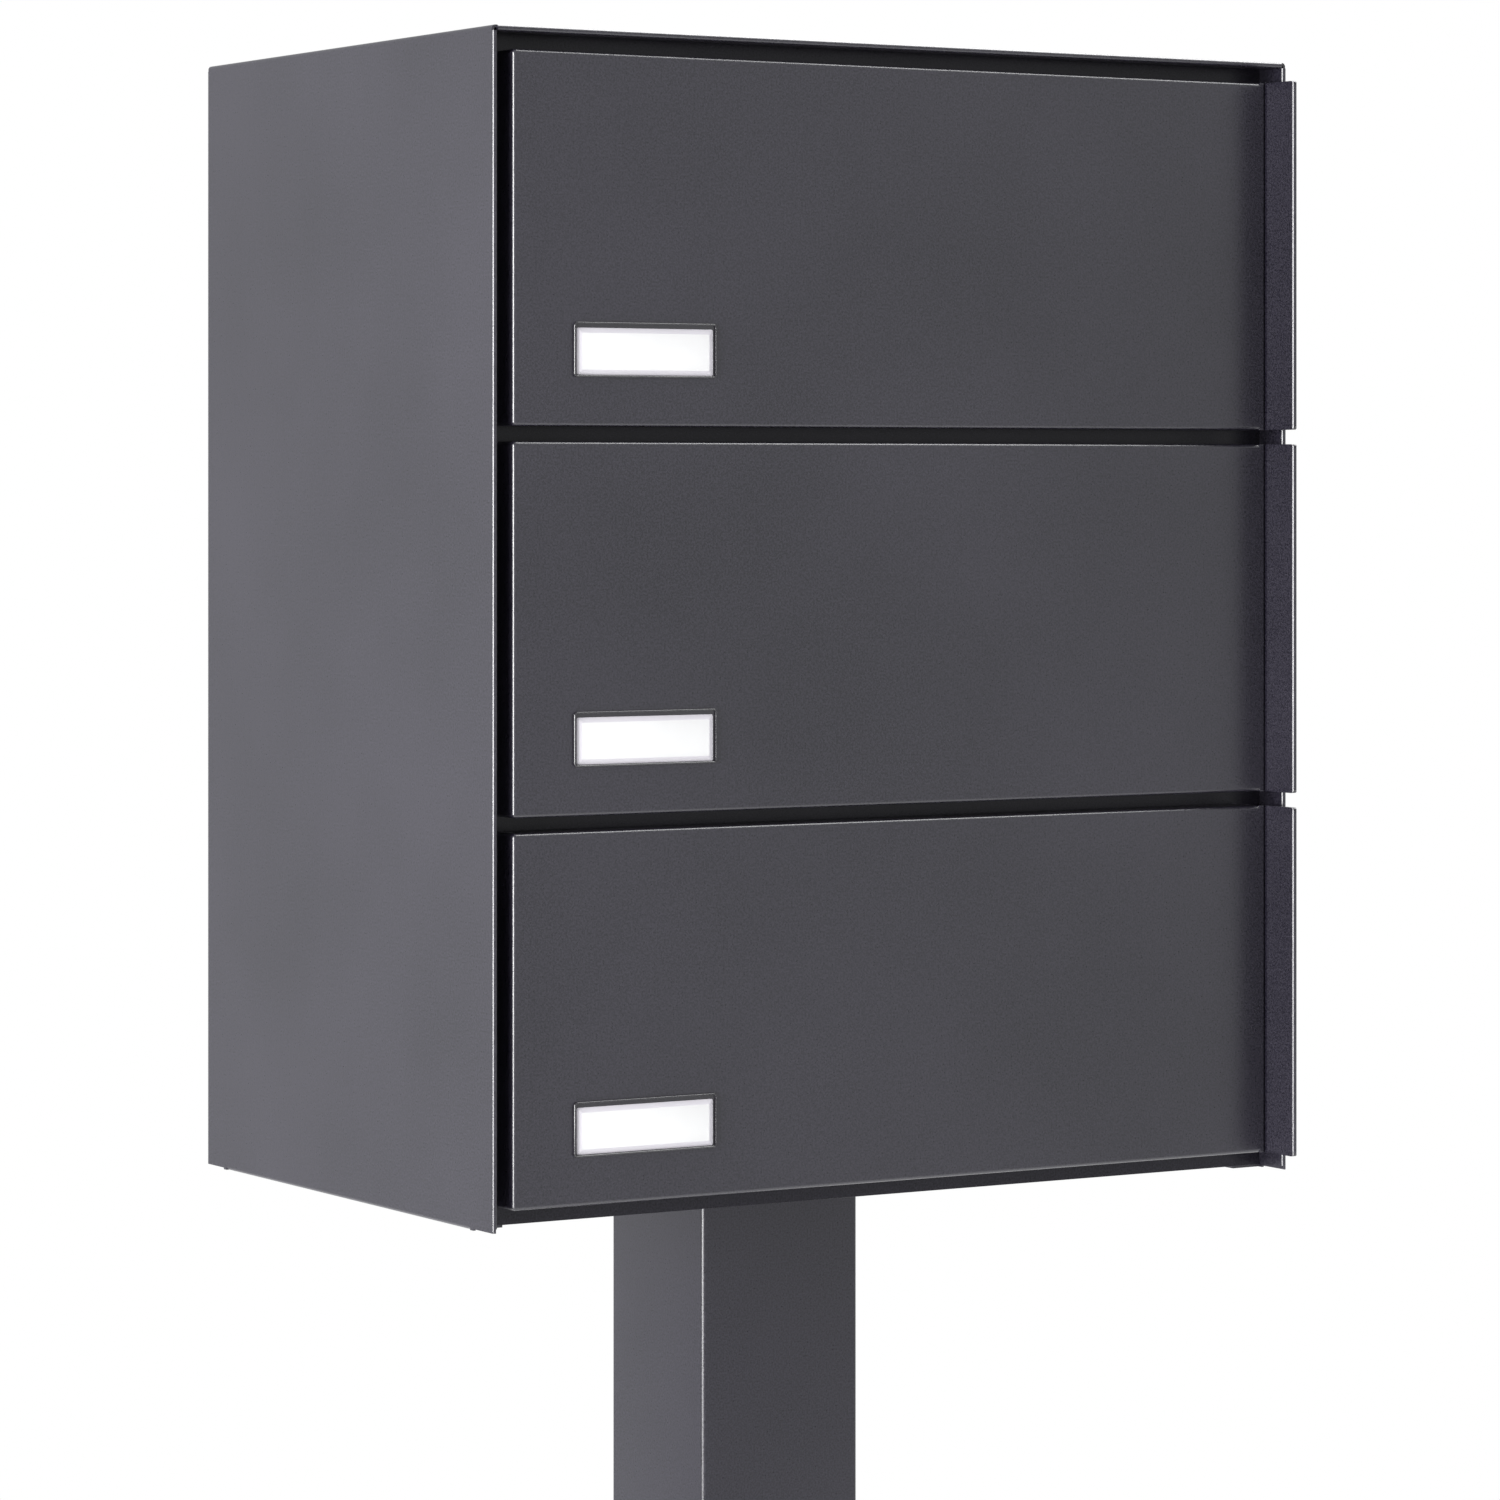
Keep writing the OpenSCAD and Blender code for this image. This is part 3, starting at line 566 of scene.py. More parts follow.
def makeCover(level):
    shape = coverShape
    low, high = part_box("front_cover_" + level)
    plateLow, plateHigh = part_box("nameplate_bezel_" + level)
    thick = sheetMetal["thickness"]
    radius = sheetMetal["bendRadius"]
    inner = radius - thick
    faceY = high.y - panDepth
    gripX = high.x - 2 * noseRadius
    reliefX = gripX - shape["gripRelief"]
    bm = bmesh.new()
    rings = panRings(low.x, reliefX, low.z, high.z, faceY, high.y, True)
    panSurface(bm, rings, False)
    zLow, zHigh = low.z + radius, high.z - radius
    corners = ((low.x + radius, zLow), (reliefX, zLow), (reliefX, zHigh), (low.x + radius, zHigh))
    bm.faces.new([bm.verts.new((x, faceY, z)) for x, z in corners])
    # the grip in plan: out of the face, round its nose and back along the hem
    plan = [(reliefX, faceY)]
    plan += arcPoints((gripX - inner, faceY - inner), inner, 90, 0, sheetMetal["bendSteps"])
    nose = (gripX + noseRadius, low.y + noseRadius)
    beyondNose = shape["gripCorner"] - noseRadius
    for k in range(1, 5):
        plan.append((gripX, low.y + noseRadius + beyondNose * (5 - k) / 5))
    plan += arcPoints(nose, noseRadius, 180, 360, 2 * sheetMetal["bendSteps"])
    for k in range(1, 5):
        plan.append((high.x, low.y + noseRadius + beyondNose * k / 4))
    plan.append((high.x, low.y + shape["gripHem"]))

    def trimmed(y):
        into = low.y + shape["gripCorner"] - y
        if into <= 0:
            return 0.0
        return shape["gripCorner"] - math.sqrt(max(shape["gripCorner"] ** 2 - into ** 2, 0.0))

    columns = []
    for x, y in plan:
        cut = trimmed(y)
        columns.append((bm.verts.new((x, y, low.z + cut)), bm.verts.new((x, y, high.z - cut))))
    for k, ((a, b), (c, d)) in enumerate(zip(columns, columns[1:])):
        if k == 0:
            middle = [bm.verts.new((reliefX, faceY, z)) for z in (zLow, zHigh)]
            bm.faces.new((a, middle[0], middle[1], b, d, c))
        else:
            bm.faces.new((a, b, d, c))
    piece = placeMesh("coverSheet_" + level, bm, coat["cover"])
    lap, reach = shape["plateLap"], shape["cutterReach"]
    cutters = [boxCutter((plateLow.x + lap, faceY - 2 * reach, plateLow.z + lap),
                         (plateHigh.x - lap, faceY + 3 * reach, plateHigh.z - lap))]
    cutters += bushHoles("cover_bushes_" + level)
    middle = Vector((casingMiddle.x, faceY, (low.z + high.z) / 2))
    foldSheet(piece, middle, Vector((0, -1, 0)), cutters)
    # the crease that the brake leaves at the grip's foot; its cut faces take the frame's darkened
    # coat as painted shade in the crease
    width, bottom = shape["creaseWidth"], faceY + shape["creaseDepth"]
    crease = boxCutter((gripX - width, faceY - width, low.z - reach),
                       (gripX + shape["creaseLap"], bottom, high.z + reach), coat["frame"])
    cutWith(piece, [crease])
    # the groove's faces take the cutter's darkened frame coat: painted shade
    piece.modifiers[-1].material_mode = "TRANSFER"
    settle(piece)
    mendSeams(piece)
    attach(piece, "cover_" + level)
    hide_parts("front_cover_" + level)
    return piece


def makeDoor(level):
    low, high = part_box("rear_door_" + level)
    barrelLow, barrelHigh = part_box("lock_barrel_" + level)
    frontLow, frontHigh = behind(high), behind(low)
    radius = sheetMetal["bendRadius"]
    x0, x1, faceY, backY = frontLow.x, frontHigh.x, frontLow.y, frontHigh.y
    bm = bmesh.new()
    rings = panRings(x0, x1, low.z, high.z, faceY, backY, False)
    panSurface(bm, rings, True, behind)
    corners = ((x0 + radius, low.z + radius), (x1 - radius, low.z + radius),
               (x1 - radius, high.z - radius), (x0 + radius, high.z - radius))
    bm.faces.new([bm.verts.new(behind((x, faceY, z))) for x, z in corners])
    piece = placeMesh("doorSheet_" + level, bm, coat["cover"])
    centre = (barrelLow + barrelHigh) / 2
    cutters = [roundCutter((centre.x, high.y, centre.z), lockShape["barrelHole"], (0, 1, 0),
                           lockShape["cutterLength"])]
    cutters += bushHoles("door_bushes_" + level)
    foldSheet(piece, Vector((casingMiddle.x, high.y, centre.z)), Vector((0, 1, 0)), cutters)
    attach(piece, "door_" + level)
    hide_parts("rear_door_" + level)
    return piece


for level in levels:
    makeCover(level)
    makeDoor(level)
dropCutters()
print("covers and doors folded")


# nameplates: a moulded bezel, a bevelled window and a card
plateShape = {
    "outerCorner": 0.0015,
    "windowCorner": 0.0008,
    "bevelWidth": 0.0021,
    "bevelDepth": 0.0007,
    "edge": 0.00035,
    "rim": 0.0006,
    "grooveDepth": 0.0009,
    "trayWall": 0.0006,
    "cardEdge": 0.0001,
    "brokenEdge": 0.0001,
    "softBorder": 0.0002,
    "gap": 0.00005,
}


def roundRectangle(low, high, radius, steps=6):
    x0, z0 = low
    x1, z1 = high
    points = arcPoints((x0 + radius, z0 + radius), radius, 180, 270, steps)
    points += arcPoints((x1 - radius, z0 + radius), radius, 270, 360, steps)
    points += arcPoints((x1 - radius, z1 - radius), radius, 0, 90, steps)
    points += arcPoints((x0 + radius, z1 - radius), radius, 90, 180, steps)
    return points


# Joins rings of one point count into a closed solid; the first and last are capped.
def loftRings(bm, rings, capped=True):
    made = [[bm.verts.new(p) for p in ring] for ring in rings]
    count = len(rings[0])
    for a, b in zip(made, made[1:]):
        for k in range(count):
            n = (k + 1) % count
            bm.faces.new((a[k], a[n], b[n], b[k]))
    if capped:
        bm.faces.new(made[0])
        bm.faces.new(made[-1])
    else:
        for k in range(count):
            n = (k + 1) % count
            bm.faces.new((made[-1][k], made[-1][n], made[0][n], made[0][k]))


def makeNameplate(level):
    shape = plateShape
    low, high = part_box("nameplate_bezel_" + level)
    winLow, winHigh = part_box("card_window_" + level)
    cardLow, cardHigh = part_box("name_card_" + level)
    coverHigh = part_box("front_cover_" + level)[1]
    faceY = coverHigh.y - panDepth
    wall = shape["trayWall"]

    def ring(x0, z0, x1, z1, radius, y):
        return [(x, y, z) for x, z in roundRectangle((x0, z0), (x1, z1), radius)]

    edge = shape["edge"]
    bm = bmesh.new()
    outer = shape["outerCorner"]
    inner = shape["windowCorner"]
    # out of the card's pocket, across the groove round the window, over the rim, back to the tray
    rim, broken, groove = shape["rim"], shape["brokenEdge"], low.y + shape["grooveDepth"]
    rings = [ring(winLow.x, winLow.z, winHigh.x, winHigh.z, inner, cardHigh.y),
             ring(winLow.x, winLow.z, winHigh.x, winHigh.z, inner, groove)]
    for inset, y in ((rim + broken, groove), (rim + broken, low.y + broken), (rim, low.y)):
        rings.append(ring(low.x + inset, low.z + inset, high.x - inset, high.z - inset, inner, y))
    for k in range(4):
        angle = math.radians(90 - 90 * k / 3)
        inset = edge * (1 - math.cos(angle))
        rings.append(ring(low.x + inset, low.z + inset, high.x - inset, high.z - inset,
                          outer - inset, low.y + edge - edge * math.sin(angle)))
    rings.append(ring(low.x, low.z, high.x, high.z, outer, faceY))
    for y in (faceY, high.y):
        rings.append(ring(winLow.x - wall, winLow.z - wall, winHigh.x + wall, winHigh.z + wall,
                          inner, y))
    loftRings(bm, rings)
    closedFaces(bm)
    bezel = placeMesh("bezelFrame_" + level, bm, bezelPlastic)
    sharpByAngle(bezel.data, 40)
    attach(bezel, "cover_" + level)
    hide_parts("nameplate_bezel_" + level)

    bm = bmesh.new()
    bevel, deep = shape["bevelWidth"], shape["bevelDepth"]
    gap, soft = shape["gap"], shape["softBorder"]
    x0, z0, x1, z1 = winLow.x + gap, winLow.z + gap, winHigh.x - gap, winHigh.z - gap
    rings = [ring(x0, z0, x1, z1, inner, winHigh.y - gap),
             ring(x0, z0, x1, z1, inner, winLow.y + deep)]
    rings.append(ring(x0 + soft, z0 + soft, x1 - soft, z1 - soft,
                      inner * 0.8, winLow.y + deep * 0.9))
    rings.append(ring(x0 + bevel - soft, z0 + bevel - soft, x1 - bevel + soft, z1 - bevel + soft,
                      inner * 0.7, winLow.y + deep * 0.06))
    rings.append(ring(x0 + bevel, z0 + bevel, x1 - bevel, z1 - bevel, inner * 0.6, winLow.y))
    loftRings(bm, rings)
    closedFaces(bm)
    window = placeMesh("windowPane_" + level, bm, windowAcrylic)
    window.data.materials.append(borderReflectionTint)
    # the bevelled border faces take the grey tint: painted reflection of the chamfer
    inside = bevel + broken
    for face in window.data.polygons:
        middle = face.center
        across = winLow.x + inside < middle.x < winHigh.x - inside
        if not (across and winLow.z + inside < middle.z < winHigh.z - inside):
            face.material_index = 1
    sharpByAngle(window.data, 20)
    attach(window, "cover_" + level)
    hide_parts("card_window_" + level)

    bm = bmesh.new()
    x0, z0, x1, z1 = cardLow.x + gap, cardLow.z + gap, cardHigh.x - gap, cardHigh.z - gap
    trim = shape["cardEdge"]
    rings = [ring(x0, z0, x1, z1, inner, cardHigh.y - gap),
             ring(x0, z0, x1, z1, inner, cardLow.y + 1.2 * trim),
             ring(x0 + trim, z0 + trim, x1 - trim, z1 - trim, inner, cardLow.y)]
    loftRings(bm, rings)
    closedFaces(bm)
    card = placeMesh("nameCard_" + level, bm, whiteCard)
    sharpByAngle(card.data, 40)
    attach(card, "cover_" + level)
    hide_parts("name_card_" + level)


for level in levels:
    makeNameplate(level)
print("nameplates made")


# slot flaps: a sheet curled round its rod
flapShape = {
    "thickness": 0.001,
    "curlEnd": -75,
    "curlSteps": 26,
}


def makeFlap(level):
    shape = flapShape
    low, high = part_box("slot_flap_" + level)
    thick = shape["thickness"]
    outer = (high.y - low.y) / 2
    centre = (low.y + outer, high.z - outer)
    outline = [(low.y, low.z)]
    outline += arcPoints(centre, outer, 180, shape["curlEnd"], shape["curlSteps"])
    outline += arcPoints(centre, outer - thick, shape["curlEnd"], 180, shape["curlSteps"])
    outline += [(low.y + thick, low.z)]
    bm = bmesh.new()
    prism(bm, outline, low.x, high.x, lambda y, z, x: (x, y, z))
    closedFaces(bm)
    # the flap takes the frame's darkened coat: painted shade
    piece = placeMesh("flapPlate_" + level, bm, coat["frame"])
    roundEdges(piece, 0.00018, 2, 50)
    settle(piece)
    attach(piece, "flap_" + level)
    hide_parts("slot_flap_" + level)


for level in levels:
    makeFlap(level)
print("slot flaps curled")


# plainer parts: the CAD solids with their edges broken
plateLimits = {
    "manyCorners": 60,
    "largeArea": 0.002,
    "longEdge": 0.0015,
}


def easeEdges(node, name, body, material, width, segments=2, angle=40):
    source = frame["nodes"][node].data
    bm = bmesh.new()
    bm.from_mesh(source)
    bmesh.ops.remove_doubles(bm, verts=bm.verts, dist=1e-6)
    bmesh.ops.dissolve_limit(bm, angle_limit=math.radians(1.0), verts=bm.verts, edges=bm.edges)
    # large faces with small holes are split up, and the holes' rims are left as cut
    pierced = [face for face in bm.faces if len(face.verts) > plateLimits["manyCorners"]
               and face.calc_area() > plateLimits["largeArea"]]
    bmesh.ops.triangulate(bm, faces=pierced)
    bmesh.ops.recalc_face_normals(bm, faces=bm.faces)
    if pierced:
        weights = bm.edges.layers.float.new("bevel_weight_edge")
        for edge in bm.edges:
            bent = edge.calc_face_angle(0) > math.radians(angle)
            if bent and edge.calc_length() > plateLimits["longEdge"]:
                edge[weights] = 1
    piece = placeMesh(name, bm, material)
    roundEdges(piece, width, segments, angle)
    if pierced:
        piece.modifiers[-1].limit_method = "WEIGHT"
    settle(piece)
    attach(piece, body)
    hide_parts(node)
    return piece


housingParts = [
    # the frames take the frame's darkened coat: painted shade in the recesses
    ("front_frame", "frontFrame", "frame_coat", coat["frame"], 0.00012),
    ("rear_frame", "rearFrame", "frame_coat", coat["frame"], 0.00012),
    ("base_pan", "basePan", "casing_coat", coat["casing"], 0.0003),
    ("shelf_lower", "shelfLower", "casing_coat", coat["casing"], 0.0003),
    ("shelf_upper", "shelfUpper", "casing_coat", coat["casing"], 0.0003),
    ("post_head_plate", "postHeadPlate", "casing_coat", coat["post"], 0.0006),
    ("post_base_plate", "postBasePlate", "casing_coat", coat["post"], 0.0008),
    ("cover_hinge_lugs", "coverHingeLugs", "zinc_steel", zincPlate, 0.0003),
    ("door_hinge_lugs", "doorHingeLugs", "zinc_steel", zincPlate, 0.0003),
    ("cover_hinge_pins", "coverHingePins", "zinc_steel", zincPlate, 0.0003),
    ("door_hinge_pins", "doorHingePins", "zinc_steel", zincPlate, 0.0003),
    ("flap_rods", "flapRods", "zinc_steel", zincPlate, 0.0003),
    ("flap_brackets", "flapBrackets", "zinc_steel", zincPlate, 0.0003),
    ("cover_magnets", "coverMagnets", "magnet_case", magnetCase, 0.0008),
    ("cover_buffers", "coverBuffers", "buffer_rubber", softRubber, 0.0010),
]
for node, name, slotName, material, width in housingParts:
    easeEdges(node, name, "housing", material, width)

# CAD piece, name, body, slot, material and edge width, once on every level
levelParts = [
    ("cover_bushes_", "coverBushes_", "cover_", "bush_nylon", blackNylon, 0.0002),
    ("door_bushes_", "doorBushes_", "door_", "bush_nylon", blackNylon, 0.0002),
    ("lock_barrel_", "lockBarrel_", "door_", "lock_nickel", nickelPlate, 0.0003),
    ("lock_nut_", "lockNut_", "door_", "lock_nickel", nickelPlate, 0.0004),
    ("lock_plug_", "lockPlug_", "lock_", "lock_nickel", nickelPlate, 0.0002),
    ("lock_cam_", "lockCam_", "lock_", "zinc_steel", zincPlate, 0.0003),
]
for level in levels:
    for node, name, body, slotName, material, width in levelParts:
        easeEdges(node + level, name + level, body + level, material, width)
print("plain parts finished")


# rivets and screws: one turned part set on every place where the CAD piece has one
# (sizes in metres; the head looks along the axis, away from what it holds)
fastenerSizes = {
    "rivet": {
        "Shank Radius": 0.0016, "Head Radius": 0.003, "Head Height": 0.001, "Dome": 0.0006,
        "Socket Sides": 24, "Socket Radius": 0.0009, "Socket Depth": 0.0004,
    },
    "head screw": {
        "Shank Radius": 0.004, "Head Radius": 0.007, "Head Height": 0.0044, "Dome": 0.0022,
        "Socket Sides": 6, "Socket Radius": 0.0029, "Socket Depth": 0.0026,
    },
    "cam screw": {
        "Shank Radius": 0.0015, "Head Radius": 0.0042, "Head Height": 0.0022, "Dome": 0.0009,
        "Socket Sides": 6, "Socket Radius": 0.0015, "Socket Depth": 0.0014,
    },
}


def makeFastenerTree():
    tree = bpy.data.node_groups.new("turnedFastener", "GeometryNodeTree")
    face = tree.interface
    face.new_socket("Geometry", in_out="INPUT", socket_type="NodeSocketGeometry")
    for name in ("Shank Radius", "Shank Length", "Head Radius", "Head Height", "Dome",
                 "Socket Radius", "Socket Depth"):
        face.new_socket(name, in_out="INPUT", socket_type="NodeSocketFloat")
    for name in ("Socket Sides", "Sides", "Seed"):
        face.new_socket(name, in_out="INPUT", socket_type="NodeSocketInt")
    face.new_socket("Material", in_out="INPUT", socket_type="NodeSocketMaterial")
    face.new_socket("Geometry", in_out="OUTPUT", socket_type="NodeSocketGeometry")
    nodes, links = tree.nodes, tree.links
    given = nodes.new("NodeGroupInput").outputs
    result = nodes.new("NodeGroupOutput").inputs

    def put(kind, source, target, **settings):
        node = nodes.new(kind)
        for key, value in settings.items():
            setattr(node, key, value)
        for key, value in target.items():
            if hasattr(value, "default_value") or hasattr(value, "is_linked"):
                links.new(value, node.inputs[key])
            else:
                node.inputs[key].default_value = value
        return node.outputs[source]

    def reckon(operation, a, b):
        return put("ShaderNodeMath", 0, {0: a, 1: b}, operation=operation)

    def upBy(height):
        return put("ShaderNodeCombineXYZ", 0, {"Z": height})

    def moved(geometry, height):
        return put("GeometryNodeTransform", "Geometry",
                   {"Geometry": geometry, "Translation": upBy(height)})

    # the head, with its seat at z = 0 and a domed top
    head = put("GeometryNodeMeshCylinder", "Mesh",
               {"Vertices": given["Sides"], "Fill Segments": 6, "Radius": given["Head Radius"],
                "Depth": given["Head Height"]})
    head = moved(head, reckon("MULTIPLY", given["Head Height"], 0.5))
    place = put("GeometryNodeInputPosition", 0, {})
    axes = nodes.new("ShaderNodeSeparateXYZ")
    links.new(place, axes.inputs[0])
    flat = put("ShaderNodeCombineXYZ", 0, {"X": axes.outputs["X"], "Y": axes.outputs["Y"]})
    far = put("ShaderNodeVectorMath", "Value", {0: flat}, operation="LENGTH")
    share = reckon("POWER", reckon("DIVIDE", far, given["Head Radius"]), 2.4)
    nearTop = reckon("MULTIPLY", given["Head Height"], 0.9)
    onTop = reckon("GREATER_THAN", axes.outputs["Z"], nearTop)
    drop = reckon("MULTIPLY", reckon("MULTIPLY", share, given["Dome"]), -1.0)
    head = put("GeometryNodeSetPosition", "Geometry",
               {"Geometry": head, "Selection": onTop, "Offset": upBy(drop)})
    # the shank reaches a little into the head, so that the two join
    grip = 0.0002
    length = reckon("ADD", given["Shank Length"], grip)
    shank = put("GeometryNodeMeshCylinder", "Mesh",
                {"Vertices": given["Sides"], "Radius": given["Shank Radius"], "Depth": length})
    shank = moved(shank, reckon("SUBTRACT", grip, reckon("MULTIPLY", length, 0.5)))
    join = nodes.new("GeometryNodeMeshBoolean")
    join.operation = "UNION"
    join.solver = "EXACT"
    links.new(head, join.inputs["Mesh 2"])
    links.new(shank, join.inputs["Mesh 2"])
    socket = put("GeometryNodeMeshCylinder", "Mesh",
                 {"Vertices": given["Socket Sides"], "Radius": given["Socket Radius"],
                  "Depth": reckon("MULTIPLY", given["Socket Depth"], 2.0)})
    socket = moved(socket, given["Head Height"])
    cut = nodes.new("GeometryNodeMeshBoolean")
    cut.operation = "DIFFERENCE"
    cut.solver = "EXACT"
    links.new(join.outputs["Mesh"], cut.inputs["Mesh 1"])
    links.new(socket, cut.inputs["Mesh 2"])
    # one on every point, its head along the point's axis, each turned a little differently
    axis = put("GeometryNodeInputNamedAttribute", "Attribute", {"Name": "axis"},
               data_type="FLOAT_VECTOR")
    turn = put("FunctionNodeAlignRotationToVector", "Rotation", {"Vector": axis}, axis="Z")
    points = put("GeometryNodeMeshToPoints", "Points", {"Mesh": given["Geometry"]})
    many = put("GeometryNodeInstanceOnPoints", "Instances",
               {"Points": points, "Instance": cut.outputs["Mesh"], "Rotation": turn})
    chance = nodes.new("FunctionNodeRandomValue")
    chance.data_type = "FLOAT"
    links.new(given["Seed"], chance.inputs["Seed"])
    spin = put("ShaderNodeCombineXYZ", 0,
               {"Z": reckon("MULTIPLY", chance.outputs[1], 2 * math.pi)})
    many = put("GeometryNodeRotateInstances", "Instances", {"Instances": many, "Rotation": spin})
    real = put("GeometryNodeRealizeInstances", "Geometry", {"Geometry": many})
    done = put("GeometryNodeSetMaterial", "Geometry",
               {"Geometry": real, "Material": given["Material"]})
    links.new(done, result["Geometry"])
    return tree


# The separate lumps of a CAD piece, as their low and high corners.
def lumpBoxes(node):
    bm = bmesh.new()
    bm.from_mesh(frame["nodes"][node].data)
    bmesh.ops.remove_doubles(bm, verts=bm.verts, dist=1e-6)
    bm.verts.ensure_lookup_table()
    seen, boxes = set(), []
    for vert in bm.verts:
        if vert.index in seen:
            continue
        seen.add(vert.index)
        lump, todo = [vert.co.copy()], [vert]
        while todo:
            for edge in todo.pop().link_edges:
                for other in edge.verts:
                    if other.index not in seen:
                        seen.add(other.index)
                        lump.append(other.co.copy())
                        todo.append(other)
        boxes.append((Vector(min(p[k] for p in lump) for k in range(3)),
                      Vector(max(p[k] for p in lump) for k in range(3))))
    bm.free()
    return sorted(boxes, key=lambda box: tuple(round(c, 4) for c in box[0]))


fastenerTree = makeFastenerTree()


# axisOf tells the head's direction from a lump's middle.
def makeFasteners(node, name, kind, body, material, axisOf):
    sizes = fastenerSizes[kind]
    seats, axes = [], []
    for low, high in lumpBoxes(node):
        axis = Vector(axisOf((low + high) / 2))
        reach = abs((high - low).dot(axis))
        seats.append((low + high) / 2 + axis * (reach / 2 - sizes["Head Height"]))
        axes.append(axis)
    mesh = bpy.data.meshes.new(name)
    mesh.from_pydata(seats, [], [])
    held = mesh.attributes.new("axis", "FLOAT_VECTOR", "POINT")
    for k, axis in enumerate(axes):
        held.data[k].vector = axis
    piece = bpy.data.objects.new(name, mesh)
    bpy.context.scene.collection.objects.link(piece)
    maker = piece.modifiers.new("fasteners", "NODES")
    maker.node_group = fastenerTree
    values = dict(sizes)
    values.update({"Shank Length": reach - sizes["Head Height"], "Sides": 40, "Seed": 7,
                   "Material": material})
    for item in fastenerTree.interface.items_tree:
        if item.in_out == "INPUT" and item.name in values:
            maker[item.identifier] = values[item.name]
    bakeModifiers(piece)
    stale = piece.data.attributes.get("axis")
    if stale:
        piece.data.attributes.remove(stale)
    roundEdges(piece, 0.00012, 2, 35)
    settle(piece)
    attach(piece, body)
    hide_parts(node)
    return piece


def awayFromFrame(middle):
    return (0, -1, 0) if middle.y < casingMiddle.y else (0, 1, 0)


fastenerSets = [
    ("pan_rivets", "panRivets", "rivet", "housing", lambda middle: (0, 0, -1)),
    ("hinge_rivets", "hingeRivets", "rivet", "housing", awayFromFrame),
    ("head_screws", "headScrews", "head screw", "housing", lambda middle: (0, 0, 1)),
]
for level in levels:
    fastenerSets.append(("cam_screw_" + level, "camScrew_" + level, "cam screw", "lock_" + level,
                         lambda middle: (0, -1, 0)))
for node, name, kind, body, axisOf in fastenerSets:
    makeFasteners(node, name, kind, body, zincPlate, axisOf)
print("rivets and screws set")


# post: a square tube
postShape = {
    "cornerRadius": 0.0022,
    "wall": 0.003,
    "cornerSteps": 8,
}


def makePost():
    low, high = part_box("post_tube")
    shape = postShape
    outer = roundRectangle((low.x, low.y), (high.x, high.y), shape["cornerRadius"],
                           shape["cornerSteps"])
    wall = shape["wall"]
    inner = roundRectangle((low.x + wall, low.y + wall), (high.x - wall, high.y - wall),
                           shape["cornerRadius"] / 3, shape["cornerSteps"])
    rings = []
    for outline, z in ((outer, low.z), (outer, high.z), (inner, high.z), (inner, low.z)):
        rings.append([(x, y, z) for x, y in outline])
    bm = bmesh.new()
    loftRings(bm, rings, False)
    closedFaces(bm)
    piece = placeMesh("postTube", bm, coat["post"])
    sharpByAngle(piece.data)
    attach(piece, "housing")
    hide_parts("post_tube")


weldShape = {
    "leg": 0.0038,
    "ripplePitch": 0.0016,
    "rippleDepth": 0.00022,
    "pitchDrift": 0.6,
    "pitchDriftRun": 37,
    "legDrift": 0.03,
    "legDriftRun": 23,
}
# out from the tube and up from the plate, in shares of the leg; a negative way out is in metres
weldProfile = [(-0.0003, 0.0), (-0.0003, 0.97), (0.0, 0.97), (0.16, 0.80), (0.36, 0.58),
               (0.58, 0.36), (0.80, 0.16), (0.97, 0.0)]


# A fillet weld round the tube at height z; up is +1 where the tube stands on the plate.
def makeWeld(name, z, up):
    low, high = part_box("post_tube")
    shape = weldShape
    corner = postShape["cornerRadius"]
    x0, x1, y0, y1 = low.x, high.x, low.y, high.y
    step = shape["ripplePitch"] / 4
    path = []
    corners = (((x1 - corner, y0 + corner), -90), ((x1 - corner, y1 - corner), 0),
               ((x0 + corner, y1 - corner), 90), ((x0 + corner, y0 + corner), 180))
    for k, (centre, start) in enumerate(corners):
        for j in range(9):
            angle = math.radians(start + 90 * j / 8)
            out = (math.cos(angle), math.sin(angle))
            path.append((centre[0] + corner * out[0], centre[1] + corner * out[1], out))
        nextCentre = corners[(k + 1) % 4][0]
        here = path[-1]
        run = math.dist(centre, nextCentre)
        along = ((nextCentre[0] - centre[0]) / run, (nextCentre[1] - centre[1]) / run)
        count = int(run / step)
        for j in range(1, count):
            path.append((here[0] + along[0] * run * j / count,
                         here[1] + along[1] * run * j / count, here[2]))
    rings = []
    for k, (x, y, out) in enumerate(path):
        phase = 2 * math.pi * k / 4 + shape["pitchDrift"] * math.sin(k / shape["pitchDriftRun"])
        ripple = 1 + shape["rippleDepth"] / shape["leg"] * math.cos(phase)
        leg = shape["leg"] * (ripple + shape["legDrift"] * math.sin(k / shape["legDriftRun"]))
        points = []
        for n, h in weldProfile:
            reach = n if n < 0 else n * leg
            points.append((x + out[0] * reach, y + out[1] * reach, z + up * h * leg))
        rings.append(points)
    bm = bmesh.new()
    made = [[bm.verts.new(p) for p in ring] for ring in rings]
    for a, b in zip(made, made[1:] + made[:1]):
        for k in range(len(a)):
            n = (k + 1) % len(a)
            bm.faces.new((a[k], a[n], b[n], b[k]))
    closedFaces(bm)
    piece = placeMesh(name, bm, coat["post"])
    sharpByAngle(piece.data, 50)
    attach(piece, "housing")


makePost()
postLow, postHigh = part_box("post_tube")
makeWeld("footWeld", postLow.z, 1)
makeWeld("headWeld", postHigh.z, -1)
print("post made")


# stage: floor, light and camera
# the camera's lengths are in millimetres, its turn in degrees, its place in metres from the
# casing's low corner
stageSet = {
    "floorRadius": 3.2,
    "background": 1.0,
    "surround": 0.77,
    "sensorWidth": 36,
    "lensLength": 131.1696,
    "horizonShift": -0.180333,
    "cameraFromCorner": (-1.0599, -1.9479, 0.3065),
    "cameraTurn": 31.243,
}

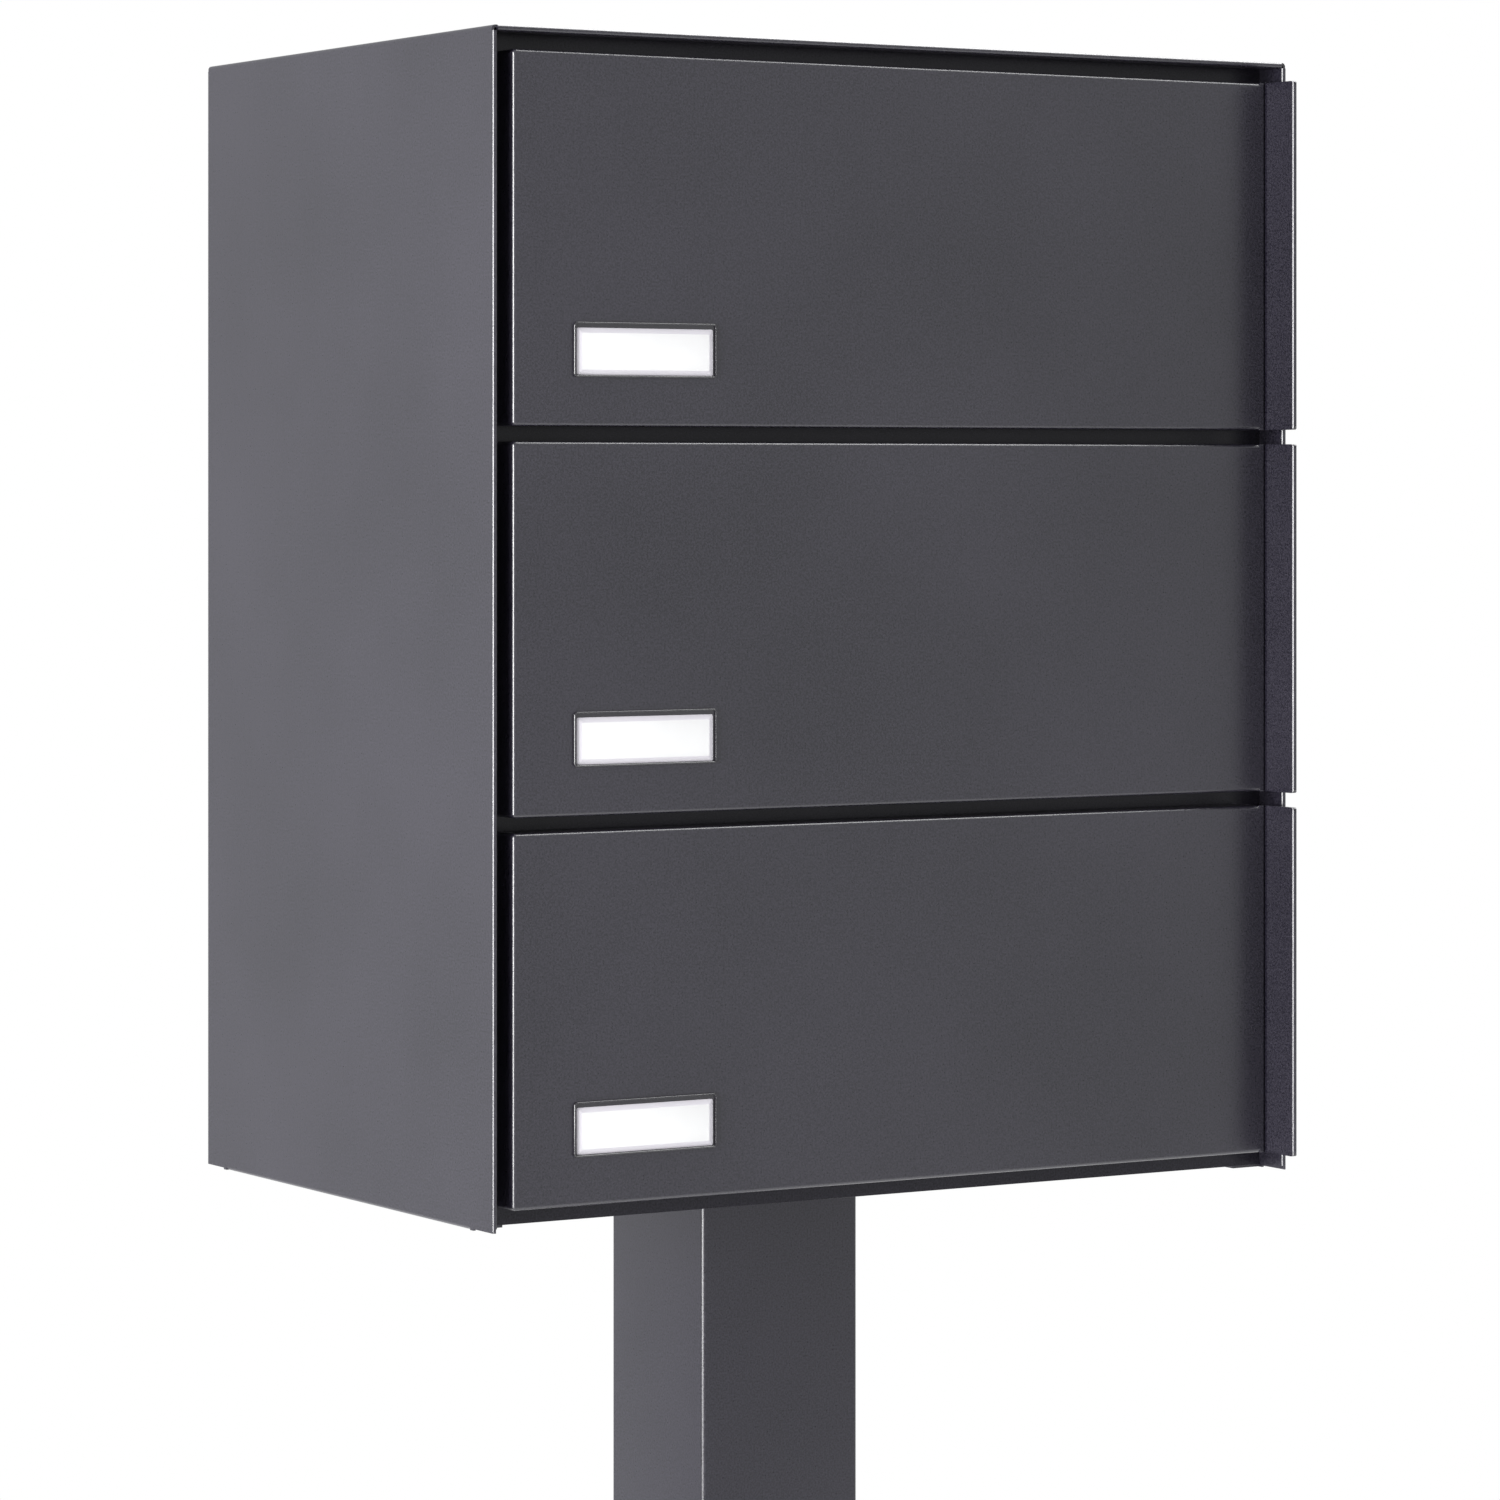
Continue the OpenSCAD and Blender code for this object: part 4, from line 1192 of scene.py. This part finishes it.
# name, direction from the casing, distance, width, height, radiance
lightSet = [
    ("leftStrip", (-0.95, -0.31, 0.02), 3.2, 1.4, 1.6, 32.0),
    ("rearLeftPanel", (-0.56, 0.83, 0.02), 3.4, 3.6, 4.6, 0.08),
    ("overheadPanel", (0.50, 0.12, 0.86), 2.6, 3.0, 1.4, 9.0),
]


def makeStage():
    bm = bmesh.new()
    bmesh.ops.create_circle(bm, cap_ends=True, segments=96, radius=stageSet["floorRadius"])
    material, nodes, links, shader = newMaterial("paleFloor")
    speck = noiseNode(nodes, links, 40, 3)
    tone = rampNode(nodes, links, speck.outputs["Fac"],
                    [(0.3, (0.78, 0.78, 0.78)), (0.7, (0.82, 0.82, 0.82))])
    links.new(tone.outputs["Color"], shader.inputs["Base Color"])
    shader.inputs["Roughness"].default_value = 0.8
    floor = placeMesh("floor", bm, material)
    floor.location = (0, 0, -0.0005)

    world = bpy.data.worlds.new("studio")
    bpy.context.scene.world = world
    world.use_nodes = True
    nodes, links = world.node_tree.nodes, world.node_tree.links
    backdrop = nodes["Background"]
    backdrop.inputs["Color"].default_value = (1, 1, 1, 1)
    backdrop.inputs["Strength"].default_value = stageSet["background"]
    surround = nodes.new("ShaderNodeBackground")
    surround.inputs["Color"].default_value = (0.97, 0.98, 1.0, 1)
    surround.inputs["Strength"].default_value = stageSet["surround"]
    seen = nodes.new("ShaderNodeLightPath")
    choose = nodes.new("ShaderNodeMixShader")
    links.new(seen.outputs["Is Camera Ray"], choose.inputs["Fac"])
    links.new(surround.outputs["Background"], choose.inputs[1])
    links.new(backdrop.outputs["Background"], choose.inputs[2])
    links.new(choose.outputs["Shader"], nodes["World Output"].inputs["Surface"])

    for name, direction, distance, width, height, radiance in lightSet:
        lamp = bpy.data.lights.new(name, "AREA")
        lamp.shape = "RECTANGLE"
        lamp.size = width
        lamp.size_y = height
        lamp.energy = radiance * width * height * math.pi
        lampObject = bpy.data.objects.new(name, lamp)
        bpy.context.scene.collection.objects.link(lampObject)
        way = Vector(direction).normalized()
        lampObject.location = casingMiddle + way * distance
        lampObject.rotation_euler = way.to_track_quat("Z", "Y").to_euler()
        lampObject.visible_camera = False


def makeCamera():
    lens = bpy.data.cameras.new("camera")
    lens.sensor_width = stageSet["sensorWidth"]
    lens.lens = stageSet["lensLength"]
    lens.shift_y = stageSet["horizonShift"]
    lens.clip_end = 50
    camera = bpy.data.objects.new("camera", lens)
    bpy.context.scene.collection.objects.link(camera)
    camera.location = casingLow + Vector(stageSet["cameraFromCorner"])
    camera.rotation_euler = (math.radians(90), 0, -math.radians(stageSet["cameraTurn"]))
    bpy.context.scene.camera = camera


makeStage()
makeCamera()
bpy.context.scene.view_settings.view_transform = "Standard"
bpy.context.scene.view_settings.look = "None"
print("stage set")
